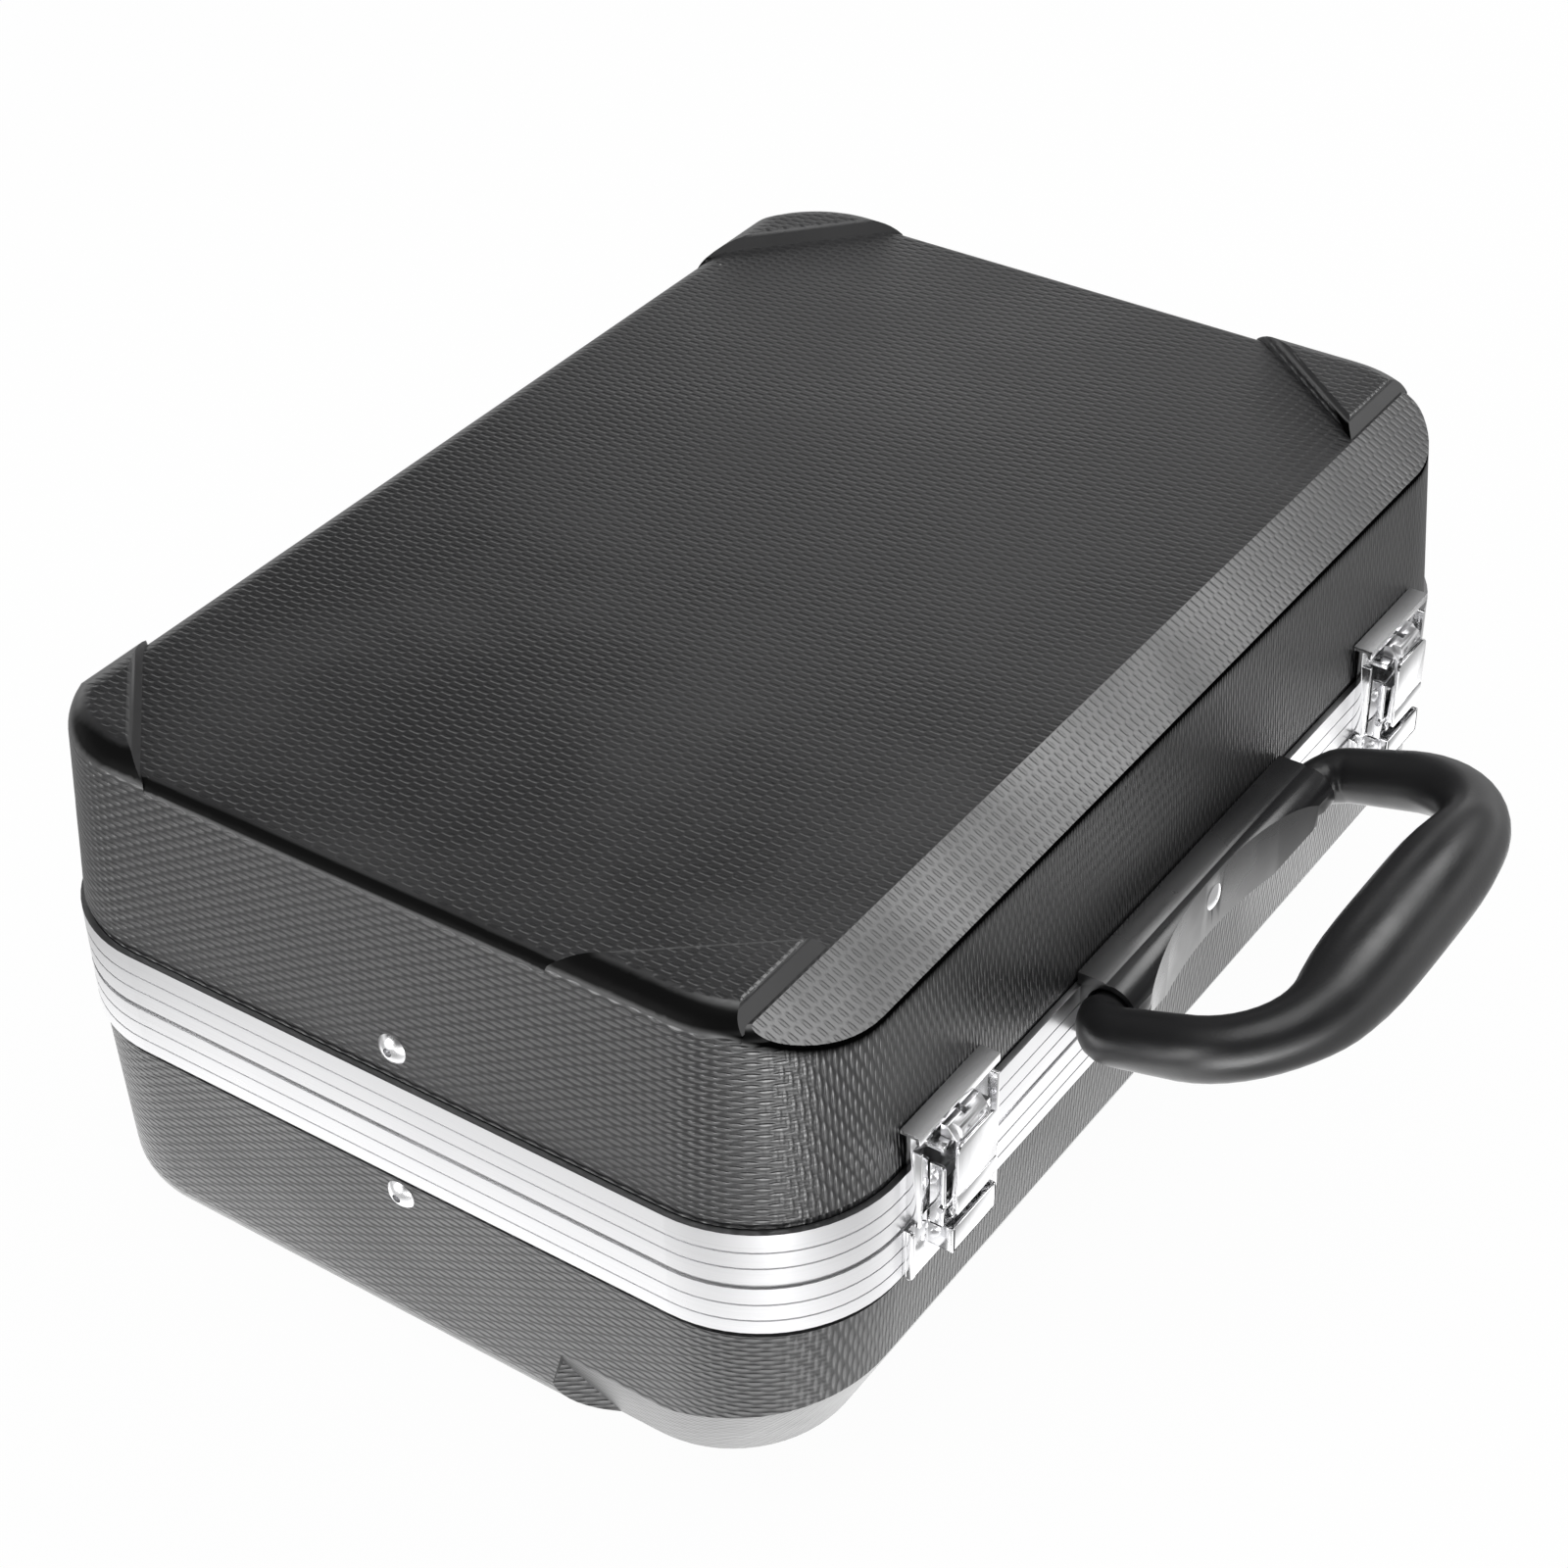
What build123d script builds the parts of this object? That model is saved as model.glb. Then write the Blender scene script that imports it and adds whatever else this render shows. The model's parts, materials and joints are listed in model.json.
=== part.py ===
from build123d import *
import math
import os

# Pocket trumpet case: two moulded shells in aluminium valances, hinged along the back.
# Millimetres. X runs along the long side, -Y is the front, +Z is up, and the origin is
# the centre of the flat bottom that the case rests on.

# Overall form
CASE_LENGTH = 340.0        # along X, over the valances
CASE_DEPTH = 239.0         # along Y, over the valances
PLAN_RADIUS = 38.0         # corner radius of the valances in plan
BASE_DROP = 62.0           # base shell below its valance
LID_RISE = 54.7            # lid shell above its valance
VALANCE_HEIGHT = 15.5      # each of the two halves
WALL = 2.5                 # moulded shell
LID_DRAFT = 4.2            # degrees, walls lean in away from the valances
BASE_DRAFT = 2.0
LID_EDGE_RADIUS = 4.0      # round between the lid's walls and its panel
LID_BACK_RADIUS = 9.0      # larger round along the back
MIN_ROUND = 0.5            # rounds smaller than this are left out
BASE_EDGE_RADIUS = 14.0    # round between the base's walls and its bottom
SEAT_GAP = 0.3             # between pieces that lie against each other
OVERLAP = 0.01             # by which joined blocks run into each other

# Valances
LEG = 1.7                  # outer leg that shows as the bright band
INNER_LEG = 1.3
INNER_LEG_HEIGHT = 14.0
WEB = 4.0                  # solid part beside the parting line
BODY_INSET = 1.2           # how far the shell lies behind the face of the valance
NECK_HEIGHT = 2.5          # shadow groove between the valance and the shell
TONGUE_WIDTH = 1.4
TONGUE_HEIGHT = 2.2
TONGUE_INSET = 2.3
TONGUE_GAP = 0.6
GROOVE_WIDTH = 0.5
GROOVE_DEPTH = 0.4
LID_GROOVES = (4.8, 9.7)   # above the parting line
BASE_GROOVES = (6.2, 11.2)  # below the parting line
PARTING_STRIP = 1.4        # narrow recessed strip under the parting line
PARTING_STRIP_DEPTH = 0.6
PARTING_GAP = 0.15

# Bevels along the front edge of each shell
LID_BEVEL_DEPTH = 17.8     # along Y
LID_BEVEL_DROP = 8.2       # along Z
LID_BEVEL_FRONT = 3.7      # crease, behind the face of the valance
BASE_BEVEL_RISE = 38.0     # crease above the bottom, at the front
BASE_BEVEL_SIDE_RISE = 25.0
BASE_BEVEL_BACK = 20.8     # foot of the bevel behind the valance's front face
BASE_BEVEL_SIDE = 13.0     # foot of the bevel in from the valance's side face
BASE_BEVEL_RADIUS = 33.0   # corner radius of the bevel's foot in plan
BASE_BEVEL_END = 38.0      # the bevel ends this far in front of the middle
BASE_BEVEL_RAMP = 12.0     # its end leans forward by this much towards the crease
BASE_BEVEL_FADE = 1.3      # the end slants along the case by this much of its depth

# Raised corner pads of the lid, where their slanting edges cross the panel
PAD_HEIGHT = 4.0
PAD_SLOPE = 3.4            # width of a pad's sloping edge
PAD_EDGE_RADIUS = 1.8      # round along the top of that edge
PAD_ROOT = 1.0             # depth of the slope's foot in the panel
FRONT_PAD_LENGTH = 40.2    # from the face of the valance, along X
FRONT_PAD_DEPTH = 59.8     # from the face of the valance, along Y
FRONT_PAD_EDGE = 25.0      # front edge of the pad, behind the face of the valance
SIDE_PAD_EDGE = 11.8       # where the front pad's slant meets the side
BACK_PAD_LENGTH = 54.0
BACK_PAD_DEPTH = 50.0
PAD_BEYOND = 10.0          # a pad's outline is drawn this far past the case, then trimmed by the lid's form

# Hinges
HINGE_END = 65.0           # from the end of the case to the middle of a hinge
HINGE_WIDTH = 44.0
HINGE_LEAF = 1.2
HINGE_LEAF_HEIGHT = 13.0
BARREL_RADIUS = 3.0
HINGE_PIN_RADIUS = 1.3
PIN_CLEARANCE = 0.05
BARREL_CLEARANCE = 0.15    # barrel in front of the valance
KNUCKLE_GAP = 0.3
PIN_HEAD = 0.7             # head of a hinge pin, larger than the pin all round
HINGE_RIVET_SPACING = 28.0
RIVET_HEAD_RADIUS = 2.6
RIVET_HEAD_HEIGHT = 0.9
RIVET_SHANK_RADIUS = 1.5
RIVET_TAIL = 1.5           # clenched tail, as a share of the shank

# Latches
LATCH_END = 57.5           # from the end of the case to the middle of a latch
LATCH_WIDTH = 34.0
LATCH_SHEET = 1.2
CATCH_TOP = 28.5           # above the parting line
CATCH_FLANGE = 3.7         # how far the side flanges stand out
CATCH_CORNER_OPEN = 4.5    # open corner under the top flange
CATCH_LIP = 2.4            # turned-down front edge of the top flange
CATCH_RIVET_UP = 8.5
PLATE_WIDTH = 37.0
PLATE_BOTTOM = 18.0        # below the parting line
PLATE_FLANGE = 2.7
PLATE_CORNER = 5.0
PLATE_RIVET_DOWN = 9.5
STRIKE_HEIGHT = 19.4       # underside of the strike bar, above the parting line
STRIKE_THICKNESS = 1.6
STRIKE_REACH = 5.4
STRIKE_WIDTH = 20.0
LEVER_PIVOT_OUT = 4.6
LEVER_PIVOT_UP = 1.0
LEVER_WIDTH = 14.6
LEVER_SHEET = 1.0
LEVER_TOP = 20.0           # above the pivot
LEVER_FACE_OUT = 2.4       # inner face of the flap in front of the pivot
LEVER_FOOT = 0.5           # lower edge of the flap above the pivot, and of the cheeks below it
LEVER_SHOULDER = 3.0
CHEEK_SHARE = 0.62         # height of the cheeks, as a share of the flap
CHEEK_SLOPE = 2.5          # slanting edge of the cheeks starts this far behind the pivot
CHEEK_SLOPE_UP = 4.0
PANEL_SIDE = 2.6           # margins and depth of the pressed panel in the flap
PANEL_FOOT = 3.5
PANEL_TOP = 4.0
PANEL_DEPTH = 0.35
PANEL_CORNER = 1.5
LEVER_PIN_RADIUS = 0.9
LEVER_PIN_HEAD = 0.6       # pin beyond the ear
HOOK_THROW = 2.6           # pivot of the hook from the pivot of the lever
HOOK_OVER_CENTRE = 8.0     # degrees
HOOK_PIN_RADIUS = 0.7
HOOK_EYE_RADIUS = 1.3
CHEEK_EYE_RADIUS = 1.5
CHEEK_BACK = 1.6           # cheeks behind the lever's pivot
WINDOW_WIDTH = 15.8        # notch in both plates behind the pivots
WINDOW_UP = 6.0
WINDOW_DOWN = 4.6
HOOK_WIDTH = 10.6
HOOK_SHEET = 1.0
HOOK_CLEARANCE = 0.25
CLAW_HEIGHT = 3.4
CLAW_SLOT = 2.2
CLAW_OUT = 0.8             # claws in front of the hook plate
CLAW_BACK = 1.2            # claws in front of the catch plate
CLAW_ROUND = 1.4
CLAW_EYE = 1.8             # width of the small opening in each claw
CLAW_EYE_FOOT = 0.9
CLAW_EYE_TOP = 2.2
HOUSING_WIDTH = 19.0
HOUSING_SHEET = 1.0
HOUSING_TOP = 4.0          # below the parting line
HOUSING_BOTTOM = 11.5
HOUSING_OUT = 8.0
EAR_REACH = 2.0            # ears round the lever's pivot
LATCH_RIVET_SIDE = 12.5

# Handle
BRACKET_LENGTH = 104.0
BRACKET_TOP = 20.5         # above the parting line
BRACKET_BOTTOM = 0.6
BRACKET_ROUND = 46.0       # half length of the shallow hollow in the bracket's front
BRACKET_FACE_OUT = 8.5     # middle of that hollow in front of the valance
HANDLE_PIVOT_OUT = 8.0
HANDLE_PIVOT_UP = 11.4
HOOD_RADIUS = 7.8
HOOD_TOP_GAP = 1.0         # flat top below the bracket's highest line
HOOD_FLAT = 2.0            # the flat top ends this far behind the pivot
HOOD_SHOULDER = (0.92, 3.3)  # corners of the hood's front: share of its radius, and height
HOOD_CHIN = (0.86, -4.2)
HOOD_LIP = 3.2             # lower front corner in front of the pivot
BRACKET_LIP = 2.2          # top of the bracket reaches back to the lid's wall from here
CAVITY_END = 1.0           # room beyond the grip's end in the hood
GRIP_END_RADIUS = 5.2
GRIP_END_GAP = 1.0
GRIP_ELBOW_RADIUS = 7.3
GRIP_ARM_RADIUS = 7.9
GRIP_MIDDLE_RADIUS = 12.4
GRIP_ELBOW_START = 0.5     # share of the elbow's growth that it has at once
GRIP_SWELL = 0.68          # share of the half width over which the middle swells
GRIP_HALF_WIDTH = 61.5     # to the middle of an arm
GRIP_REACH = 52.7          # pivot line to the middle of the front bar
GRIP_ELBOW_BEND = 9.0
GRIP_CORNER_BEND = 27.0
GRIP_TILT = 16.5           # degrees above level, as it stands in the photograph
GRIP_OVERLAP = 7.0         # length of the grip's end inside the hood
HANDLE_PIN_RADIUS = 2.5
HANDLE_PIN_DEPTH = 6.0
PIN_END_GAP = 0.5
BOSS_LENGTH = 9.0
HANDLE_RIVET_RADIUS = 3.6
BACKING_FOOT = 1.0         # above the parting line
BACKING_THICKNESS = 1.5

# Lid stay
STAY_RISE = 25.0           # rivet above the parting line
STAY_DROP = 23.0           # rivet below the parting line
STAY_LID_SHIFT = -2.8      # the lid's rivet along Y
STAY_RIVET_RADIUS = 4.1
STAY_RIVET_HEIGHT = 1.8
STAY_RIVET_BORE = 1.2
STAY_BORE_DEPTH = 1.0      # below the head
STAY_TAIL = 1.4            # length of the clenched tail
STAY_SHANK_RADIUS = 2.0
STRAP_WIDTH = 18.0
STRAP_THICKNESS = 1.3
STRAP_END = 8.0            # strap beyond each rivet
STRAP_BULGE = 3.0
WASHER_RADIUS = 6.0
WASHER_THICKNESS = 0.8
SPACER_THICKNESS = 2.2     # between the wall and the strap
STRAP_STRAIGHT = 6.0       # strap on the near side of each rivet
STAY_POCKET = 15.0         # half width of the pocket that the strap folds into
STAY_POCKET_REACH = 17.0   # pocket of the insert, in from the face of the valance
STAY_NOTCH_REACH = 14.0    # pocket of the lining
STAY_POCKET_END = 12.0     # pockets beyond the rivets

# Inside
LINING = 2.8
INSERT_TOP_GAP = 1.5       # insert below the parting line
INSERT_EDGE = 1.4          # between the insert and the inner leg of the valance
INSERT_SIDE_GAP = 2.6      # between the insert and the drafted wall near the floor
INSERT_BEVEL_GAP = 0.8
INSERT_MARGIN = 22.0       # foam at each end of the case
RECESS_SPACING = 12.0      # foam between the recess and the pocket
RECESS_SIDES = 121.0       # foam in front of and behind the recess, together
RECESS_DEPTH = 54.0
RECESS_CORNER = 40.0
HOLLOW_BACK = 8.0          # recess and pocket lie this far behind the middle
BELL_MARGIN = 20.0         # foam beyond the bell's bay
BELL_SIDES = 111.0
POCKET_LENGTH = 56.0
POCKET_SIDES = 89.0
POCKET_DEPTH = 44.0
POCKET_CORNER = 8.0
MOUTHPIECE_DIAMETER = 30.0
MOUTHPIECE_DEPTH = 46.0
MOUTHPIECE_FRONT = 37.5    # from the face of the valance
MOUTHPIECE_PLACES = (24.0, -28.0)
CUSHION_END = 45.0         # from the end of the case
CUSHION_SIDE = 44.5        # from the face of the valance
CUSHION_THICKNESS = 16.0
CUSHION_CORNER = 18.0
CUSHION_EDGE = 0.45        # round of its lower edge, as a share of its thickness
CUSHION_CROWN = 3.0
CUSHION_CROWN_INSET = 20.0
INSERT_ROUND = 3.0

# Levels and faces that follow from the sizes above
PARTING = BASE_DROP + VALANCE_HEIGHT
LID_TOP = PARTING + VALANCE_HEIGHT + LID_RISE
FRONT = -CASE_DEPTH / 2
BACK = CASE_DEPTH / 2
LID_SLOPE = math.tan(math.radians(LID_DRAFT))
BASE_SLOPE = math.tan(math.radians(BASE_DRAFT))
NECK_INSET = LEG + SEAT_GAP
NECK_INNER = NECK_INSET + WALL
LEG_OUTER = NECK_INNER + SEAT_GAP
LEG_INNER = LEG_OUTER + INNER_LEG
BODY_INNER = BODY_INSET + WALL
HINGE_Y = BACK + BARREL_RADIUS + BARREL_CLEARANCE
STRAP_DEPTH = WALL + SPACER_THICKNESS + SEAT_GAP
BASE_DRAFTED = BASE_DROP - NECK_HEIGHT
KNUCKLE = (HINGE_WIDTH - 2 * KNUCKLE_GAP) / 3
HINGE_X = CASE_LENGTH / 2 - HINGE_END
LATCH_X = CASE_LENGTH / 2 - LATCH_END
RECESS_LENGTH = CASE_LENGTH - 2 * INSERT_MARGIN - POCKET_LENGTH - RECESS_SPACING
RECESS_WIDTH = CASE_DEPTH - RECESS_SIDES
RECESS_X = -CASE_LENGTH / 2 + INSERT_MARGIN + RECESS_LENGTH / 2
BELL_DIAMETER = CASE_DEPTH - BELL_SIDES
BELL_X = -CASE_LENGTH / 2 + BELL_MARGIN + BELL_DIAMETER / 2
POCKET_WIDTH = CASE_DEPTH - POCKET_SIDES
POCKET_X = CASE_LENGTH / 2 - INSERT_MARGIN - POCKET_LENGTH / 2
MOUTHPIECE_Y = FRONT + MOUTHPIECE_FRONT
CUSHION_LENGTH = CASE_LENGTH - 2 * CUSHION_END
CUSHION_WIDTH = CASE_DEPTH - 2 * CUSHION_SIDE


def plan(inset, z):
    """Rounded rectangle of the case, drawn in from the valance's face by inset."""
    face = RectangleRounded(CASE_LENGTH - 2 * inset, CASE_DEPTH - 2 * inset, PLAN_RADIUS - inset)
    return Pos(0, 0, z) * face


def slab(inset, z0, z1):
    """Straight-sided block of the case's plan between two levels."""
    return extrude(plan(inset, z0), amount=z1 - z0)


def ring(inset_out, inset_in, z0, z1):
    """Straight-sided ring of the case's plan."""
    return slab(inset_out, z0, z1) - slab(inset_in, z0 - 1, z1 + 1)


def drafted(inset, z_wide, z_narrow, slope):
    """Block whose plan shrinks with the draft from z_wide to z_narrow."""
    shrink = slope * abs(z_narrow - z_wide)
    return loft([plan(inset, z_wide), plan(inset + shrink, z_narrow)], ruled=True)


def prism_yz(points, half_length=CASE_LENGTH):
    """Prism along X from (y, z) points."""
    face = make_face(Polyline(*[(0, y, z) for y, z in points], close=True))
    return extrude(face, amount=half_length, dir=(1, 0, 0), both=True)


def prism_xy(points, z0, z1):
    """Prism along Z from (x, y) points."""
    face = make_face(Polyline(*[(x, y, z0) for x, y in points], close=True))
    return extrude(face, amount=z1 - z0, dir=(0, 0, 1))


def block(x0, x1, y0, y1, z0, z1):
    """Box between two corners."""
    return Pos((x0 + x1) / 2, (y0 + y1) / 2, (z0 + z1) / 2) * Box(x1 - x0, y1 - y0, z1 - z0)


def rod_x(radius, x0, x1, y, z):
    """Cylinder along X."""
    return Pos((x0 + x1) / 2, y, z) * Rot(0, 90, 0) * Cylinder(radius, x1 - x0)


def rod_y(radius, y0, y1, x, z):
    """Cylinder along Y."""
    return Pos(x, (y0 + y1) / 2, z) * Rot(90, 0, 0) * Cylinder(radius, y1 - y0)


def dome(radius, height):
    """Low dome standing on the XY plane."""
    ball = (radius ** 2 + height ** 2) / (2 * height)
    return (Pos(0, 0, height - ball) * Sphere(ball)) & (Pos(0, 0, height / 2) * Cylinder(radius, height))


def mirror_x(shape):
    """Copy on the other side of the middle plane."""
    return mirror(shape, about=Plane.YZ)


def one(shape):
    """A single solid, checked."""
    solids = shape.solids()
    assert len(solids) == 1 and solids[0].is_valid, (len(solids), [s.volume for s in solids])
    return solids[0]


# Shells

def lid_bevel(offset=0.0):
    """What the long front bevel takes off the lid; offset moves it inwards."""
    length = math.hypot(LID_BEVEL_DEPTH, LID_BEVEL_DROP)
    ny, nz = LID_BEVEL_DROP / length * offset, -LID_BEVEL_DEPTH / length * offset
    y0, z0 = FRONT + LID_BEVEL_FRONT + ny, LID_TOP - LID_BEVEL_DROP + nz
    y1, z1 = y0 + LID_BEVEL_DEPTH, z0 + LID_BEVEL_DROP
    run = 3.0
    dy, dz = LID_BEVEL_DEPTH * run, LID_BEVEL_DROP * run
    return prism_yz([(y0 - dy, z0 - dz), (y1 + dy, z1 + dz), (y0 - dy, z1 + dz)])


def lid_form(offset=0.0):
    """Drafted outside of the lid with its upper edge rounded.

    A positive offset moves it inwards, and a negative one only raises its top.
    """
    inset = max(offset, 0.0)
    wide = PARTING + VALANCE_HEIGHT + NECK_HEIGHT
    top = LID_TOP - offset
    shape = drafted(BODY_INSET + inset, wide, top, LID_SLOPE)
    edge = LID_EDGE_RADIUS - offset
    if edge > MIN_ROUND:
        shape = fillet(shape.faces().sort_by(Axis.Z)[-1].edges(), edge)
    radius = LID_BACK_RADIUS - offset
    z = top - radius
    y = BACK - BODY_INSET - inset - LID_SLOPE * (z - wide) - radius
    corner = block(-CASE_LENGTH, CASE_LENGTH, y, y + 2 * radius, z, z + 2 * radius)
    return shape - (corner - rod_x(radius, -CASE_LENGTH, CASE_LENGTH, y, z))


def corner_region(corner, z0, z1, slope):
    """Prism over a corner of the panel, widened at its foot by the slope."""
    low = make_face(Polyline(*[(x, y, z0) for x, y in corner(slope)], close=True))
    high = make_face(Polyline(*[(x, y, z1) for x, y in corner(0.0)], close=True))
    return loft([low, high], ruled=True)


def front_pad_corner(slope):
    """Triangle over the left front corner, cut off along the bevel."""
    side = -CASE_LENGTH / 2
    x_edge = side + FRONT_PAD_LENGTH
    y_edge = FRONT + FRONT_PAD_EDGE
    grade = (FRONT_PAD_DEPTH - FRONT_PAD_EDGE) / (FRONT_PAD_LENGTH - SIDE_PAD_EDGE)
    y_side = FRONT + FRONT_PAD_DEPTH + grade * (SIDE_PAD_EDGE + PAD_BEYOND)
    outer = side - PAD_BEYOND
    return [(outer, y_side + slope), (x_edge + slope, y_edge - slope), (outer, y_edge - slope)]


def back_pad_corner(slope):
    """Triangle over the left back corner."""
    side = -CASE_LENGTH / 2
    x_edge = side + BACK_PAD_LENGTH
    grade = BACK_PAD_DEPTH / BACK_PAD_LENGTH
    return [(side - PAD_BEYOND, BACK - BACK_PAD_DEPTH - PAD_BEYOND * grade - slope),
            (side - PAD_BEYOND, BACK + PAD_BEYOND),
            (x_edge + PAD_BEYOND / grade + slope, BACK + PAD_BEYOND)]


def make_pad(corner):
    """Raised corner: the lid's own form, higher by the pad, over one corner of the panel."""
    foot = LID_TOP - PAD_ROOT
    high = LID_TOP + PAD_HEIGHT
    region = corner_region(corner, foot, high, PAD_SLOPE)
    plateau = fillet(region.edges().filter_by(lambda e: pad_slope_edge(e, high)), PAD_EDGE_RADIUS)
    low = LID_TOP - LID_BACK_RADIUS
    skirt = prism_xy(corner(PAD_SLOPE), low, foot)
    return lid_form(-PAD_HEIGHT) & (plateau + skirt)


def pad_slope_edge(edge, high):
    """Whether an edge is the top of a pad's slope, inside the case."""
    middle = edge.center()
    inside = abs(middle.X) < CASE_LENGTH / 2 and abs(middle.Y) < CASE_DEPTH / 2
    return inside and abs(middle.Z - high) < SEAT_GAP


def make_lid_shell():
    """Moulded lid with its bevel, corner pads and the neck that goes into the valance."""
    outside = lid_form() - lid_bevel()
    for corner in (front_pad_corner, back_pad_corner):
        pad = make_pad(corner)
        outside = outside + pad + mirror_x(pad)
    neck_bottom = PARTING + WEB + SEAT_GAP
    neck_top = PARTING + VALANCE_HEIGHT + NECK_HEIGHT
    neck = slab(NECK_INSET, neck_bottom, neck_top + OVERLAP)
    above = slab(0, neck_top + WALL, LID_TOP)
    inside = (lid_form(WALL) & above) - lid_bevel(WALL)
    neck_inside = slab(NECK_INNER, neck_bottom - 1, neck_top + WALL + OVERLAP)
    return one(outside + neck - inside - neck_inside)


def bevel_plan(side, front, radius, z):
    """Rounded rectangle open towards the back, by its insets from the side and front faces."""
    y_front = FRONT + front
    length = BACK + PLAN_RADIUS - y_front
    face = RectangleRounded(CASE_LENGTH - 2 * side, length, radius)
    return Pos(0, y_front + length / 2, z) * face


def base_bevel(offset=0.0):
    """What the front bevel takes off the base, round the front corners too; offset moves it inwards."""
    top = BASE_BEVEL_RISE + offset
    crease = BODY_INSET + BASE_SLOPE * (BASE_DRAFTED - BASE_BEVEL_RISE)
    side_crease = BODY_INSET + BASE_SLOPE * (BASE_DRAFTED - BASE_BEVEL_SIDE_RISE)
    spread = (BASE_BEVEL_SIDE - side_crease) * BASE_BEVEL_RISE / BASE_BEVEL_SIDE_RISE
    foot = bevel_plan(BASE_BEVEL_SIDE + offset, BASE_BEVEL_BACK + offset, BASE_BEVEL_RADIUS - offset, 0.0)
    wide = bevel_plan(BASE_BEVEL_SIDE - spread + offset, crease + offset, PLAN_RADIUS - offset, top)
    core = loft([foot, wide], ruled=True)
    end = -BASE_BEVEL_END + offset
    near = FRONT - BASE_BEVEL_SIDE
    zone = prism_yz([(near, 0.0), (end, 0.0), (end - BASE_BEVEL_RAMP, top), (near, top)])
    side, reach = CASE_LENGTH / 2, 2 * BASE_BEVEL_SIDE
    deep = end - BASE_BEVEL_FADE * reach
    plan_zone = prism_xy([(-side, near), (side, near), (side, end), (side - reach, deep),
                          (reach - side, deep), (-side, end)], 0.0, top)
    return (zone & plan_zone) - core


def make_base_shell():
    """Moulded base with its bevel and the neck that goes into the valance."""
    wide = BASE_DROP - NECK_HEIGHT
    outside = drafted(BODY_INSET, wide, 0.0, BASE_SLOPE)
    outside = fillet(outside.faces().sort_by(Axis.Z)[0].edges(), BASE_EDGE_RADIUS) - base_bevel()
    neck = slab(NECK_INSET, wide - OVERLAP, PARTING - WEB - SEAT_GAP)
    hollow = drafted(BODY_INNER, wide - WALL, WALL, BASE_SLOPE)
    hollow = fillet(hollow.faces().sort_by(Axis.Z)[0].edges(), BASE_EDGE_RADIUS - WALL) - base_bevel(WALL)
    neck_inside = slab(NECK_INNER, wide - WALL - OVERLAP, PARTING)
    return one(outside + neck - hollow - neck_inside)


# Valances

def make_base_valance():
    """Lower aluminium extrusion with its tongue and grooves."""
    low = BASE_DROP
    shape = ring(0, LEG_INNER, PARTING - WEB, PARTING - PARTING_GAP)
    shape += ring(0, LEG, low, PARTING - WEB)
    shape += ring(LEG_OUTER, LEG_INNER, PARTING - INNER_LEG_HEIGHT, PARTING - WEB)
    shape += ring(TONGUE_INSET, TONGUE_INSET + TONGUE_WIDTH, PARTING - 1, PARTING + TONGUE_HEIGHT)
    shape -= ring(-1, PARTING_STRIP_DEPTH, PARTING - PARTING_STRIP, PARTING + 1)
    for drop in BASE_GROOVES:
        shape -= ring(-1, GROOVE_DEPTH, PARTING - drop - GROOVE_WIDTH, PARTING - drop)
    return one(shape)


def make_lid_valance():
    """Upper aluminium extrusion with the channel that closes over the tongue."""
    high = PARTING + VALANCE_HEIGHT
    shape = ring(0, LEG_INNER, PARTING + PARTING_GAP, PARTING + WEB)
    shape += ring(0, LEG, PARTING + WEB, high)
    shape += ring(LEG_OUTER, LEG_INNER, PARTING + WEB, PARTING + INNER_LEG_HEIGHT)
    channel_in = TONGUE_INSET + TONGUE_WIDTH + TONGUE_GAP
    shape -= ring(TONGUE_INSET - TONGUE_GAP, channel_in, PARTING - 1, PARTING + TONGUE_HEIGHT + TONGUE_GAP)
    for rise in LID_GROOVES:
        shape -= ring(-1, GROOVE_DEPTH, PARTING + rise, PARTING + rise + GROOVE_WIDTH)
    return one(shape)


# Hinges

def make_hinge_leaf(x, side):
    """Leaf on the base (side -1) or the lid (side 1); the lid's has the middle knuckle."""
    x0, x1 = x - HINGE_WIDTH / 2, x + HINGE_WIDTH / 2
    near = BARREL_RADIUS + KNUCKLE_GAP
    z0, z1 = sorted((PARTING + side * near, PARTING + side * HINGE_LEAF_HEIGHT))
    leaf = block(x0, x1, BACK, BACK + HINGE_LEAF, z0, z1)
    step = KNUCKLE + KNUCKLE_GAP
    starts = (x0 + step,) if side > 0 else (x0, x0 + 2 * step)
    for start in starts:
        z_a, z_b = sorted((PARTING, PARTING + side * near))
        leaf += block(start, start + KNUCKLE, BACK + BARREL_CLEARANCE, BACK + HINGE_LEAF, z_a, z_b)
        leaf += rod_x(BARREL_RADIUS, start, start + KNUCKLE, HINGE_Y, PARTING)
    bore = HINGE_PIN_RADIUS + PIN_CLEARANCE
    leaf -= rod_x(bore, x0 - 1, x1 + 1, HINGE_Y, PARTING)
    for dx in (-HINGE_RIVET_SPACING / 2, HINGE_RIVET_SPACING / 2):
        leaf -= rod_y(RIVET_SHANK_RADIUS, BACK - 1, BACK + 5, x + dx, hinge_rivet_z(side))
    return one(leaf)


def hinge_rivet_z(side):
    """Height of a hinge leaf's rivets."""
    return PARTING + side * (BARREL_RADIUS + KNUCKLE_GAP + HINGE_LEAF_HEIGHT) / 2


def make_hinge_pin(x):
    """Pin with a slightly larger head at each end of the barrel."""
    half = HINGE_WIDTH / 2
    pin = rod_x(HINGE_PIN_RADIUS, x - half, x + half, HINGE_Y, PARTING)
    for end in (-1, 1):
        start = x + end * (half + SEAT_GAP / 2)
        stop = start + end * RIVET_HEAD_HEIGHT
        neck = sorted((x + end * half, start))
        head = sorted((start, stop))
        pin += rod_x(HINGE_PIN_RADIUS, *neck, HINGE_Y, PARTING)
        pin += rod_x(HINGE_PIN_RADIUS + PIN_HEAD, *head, HINGE_Y, PARTING)
    return one(pin)


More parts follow.
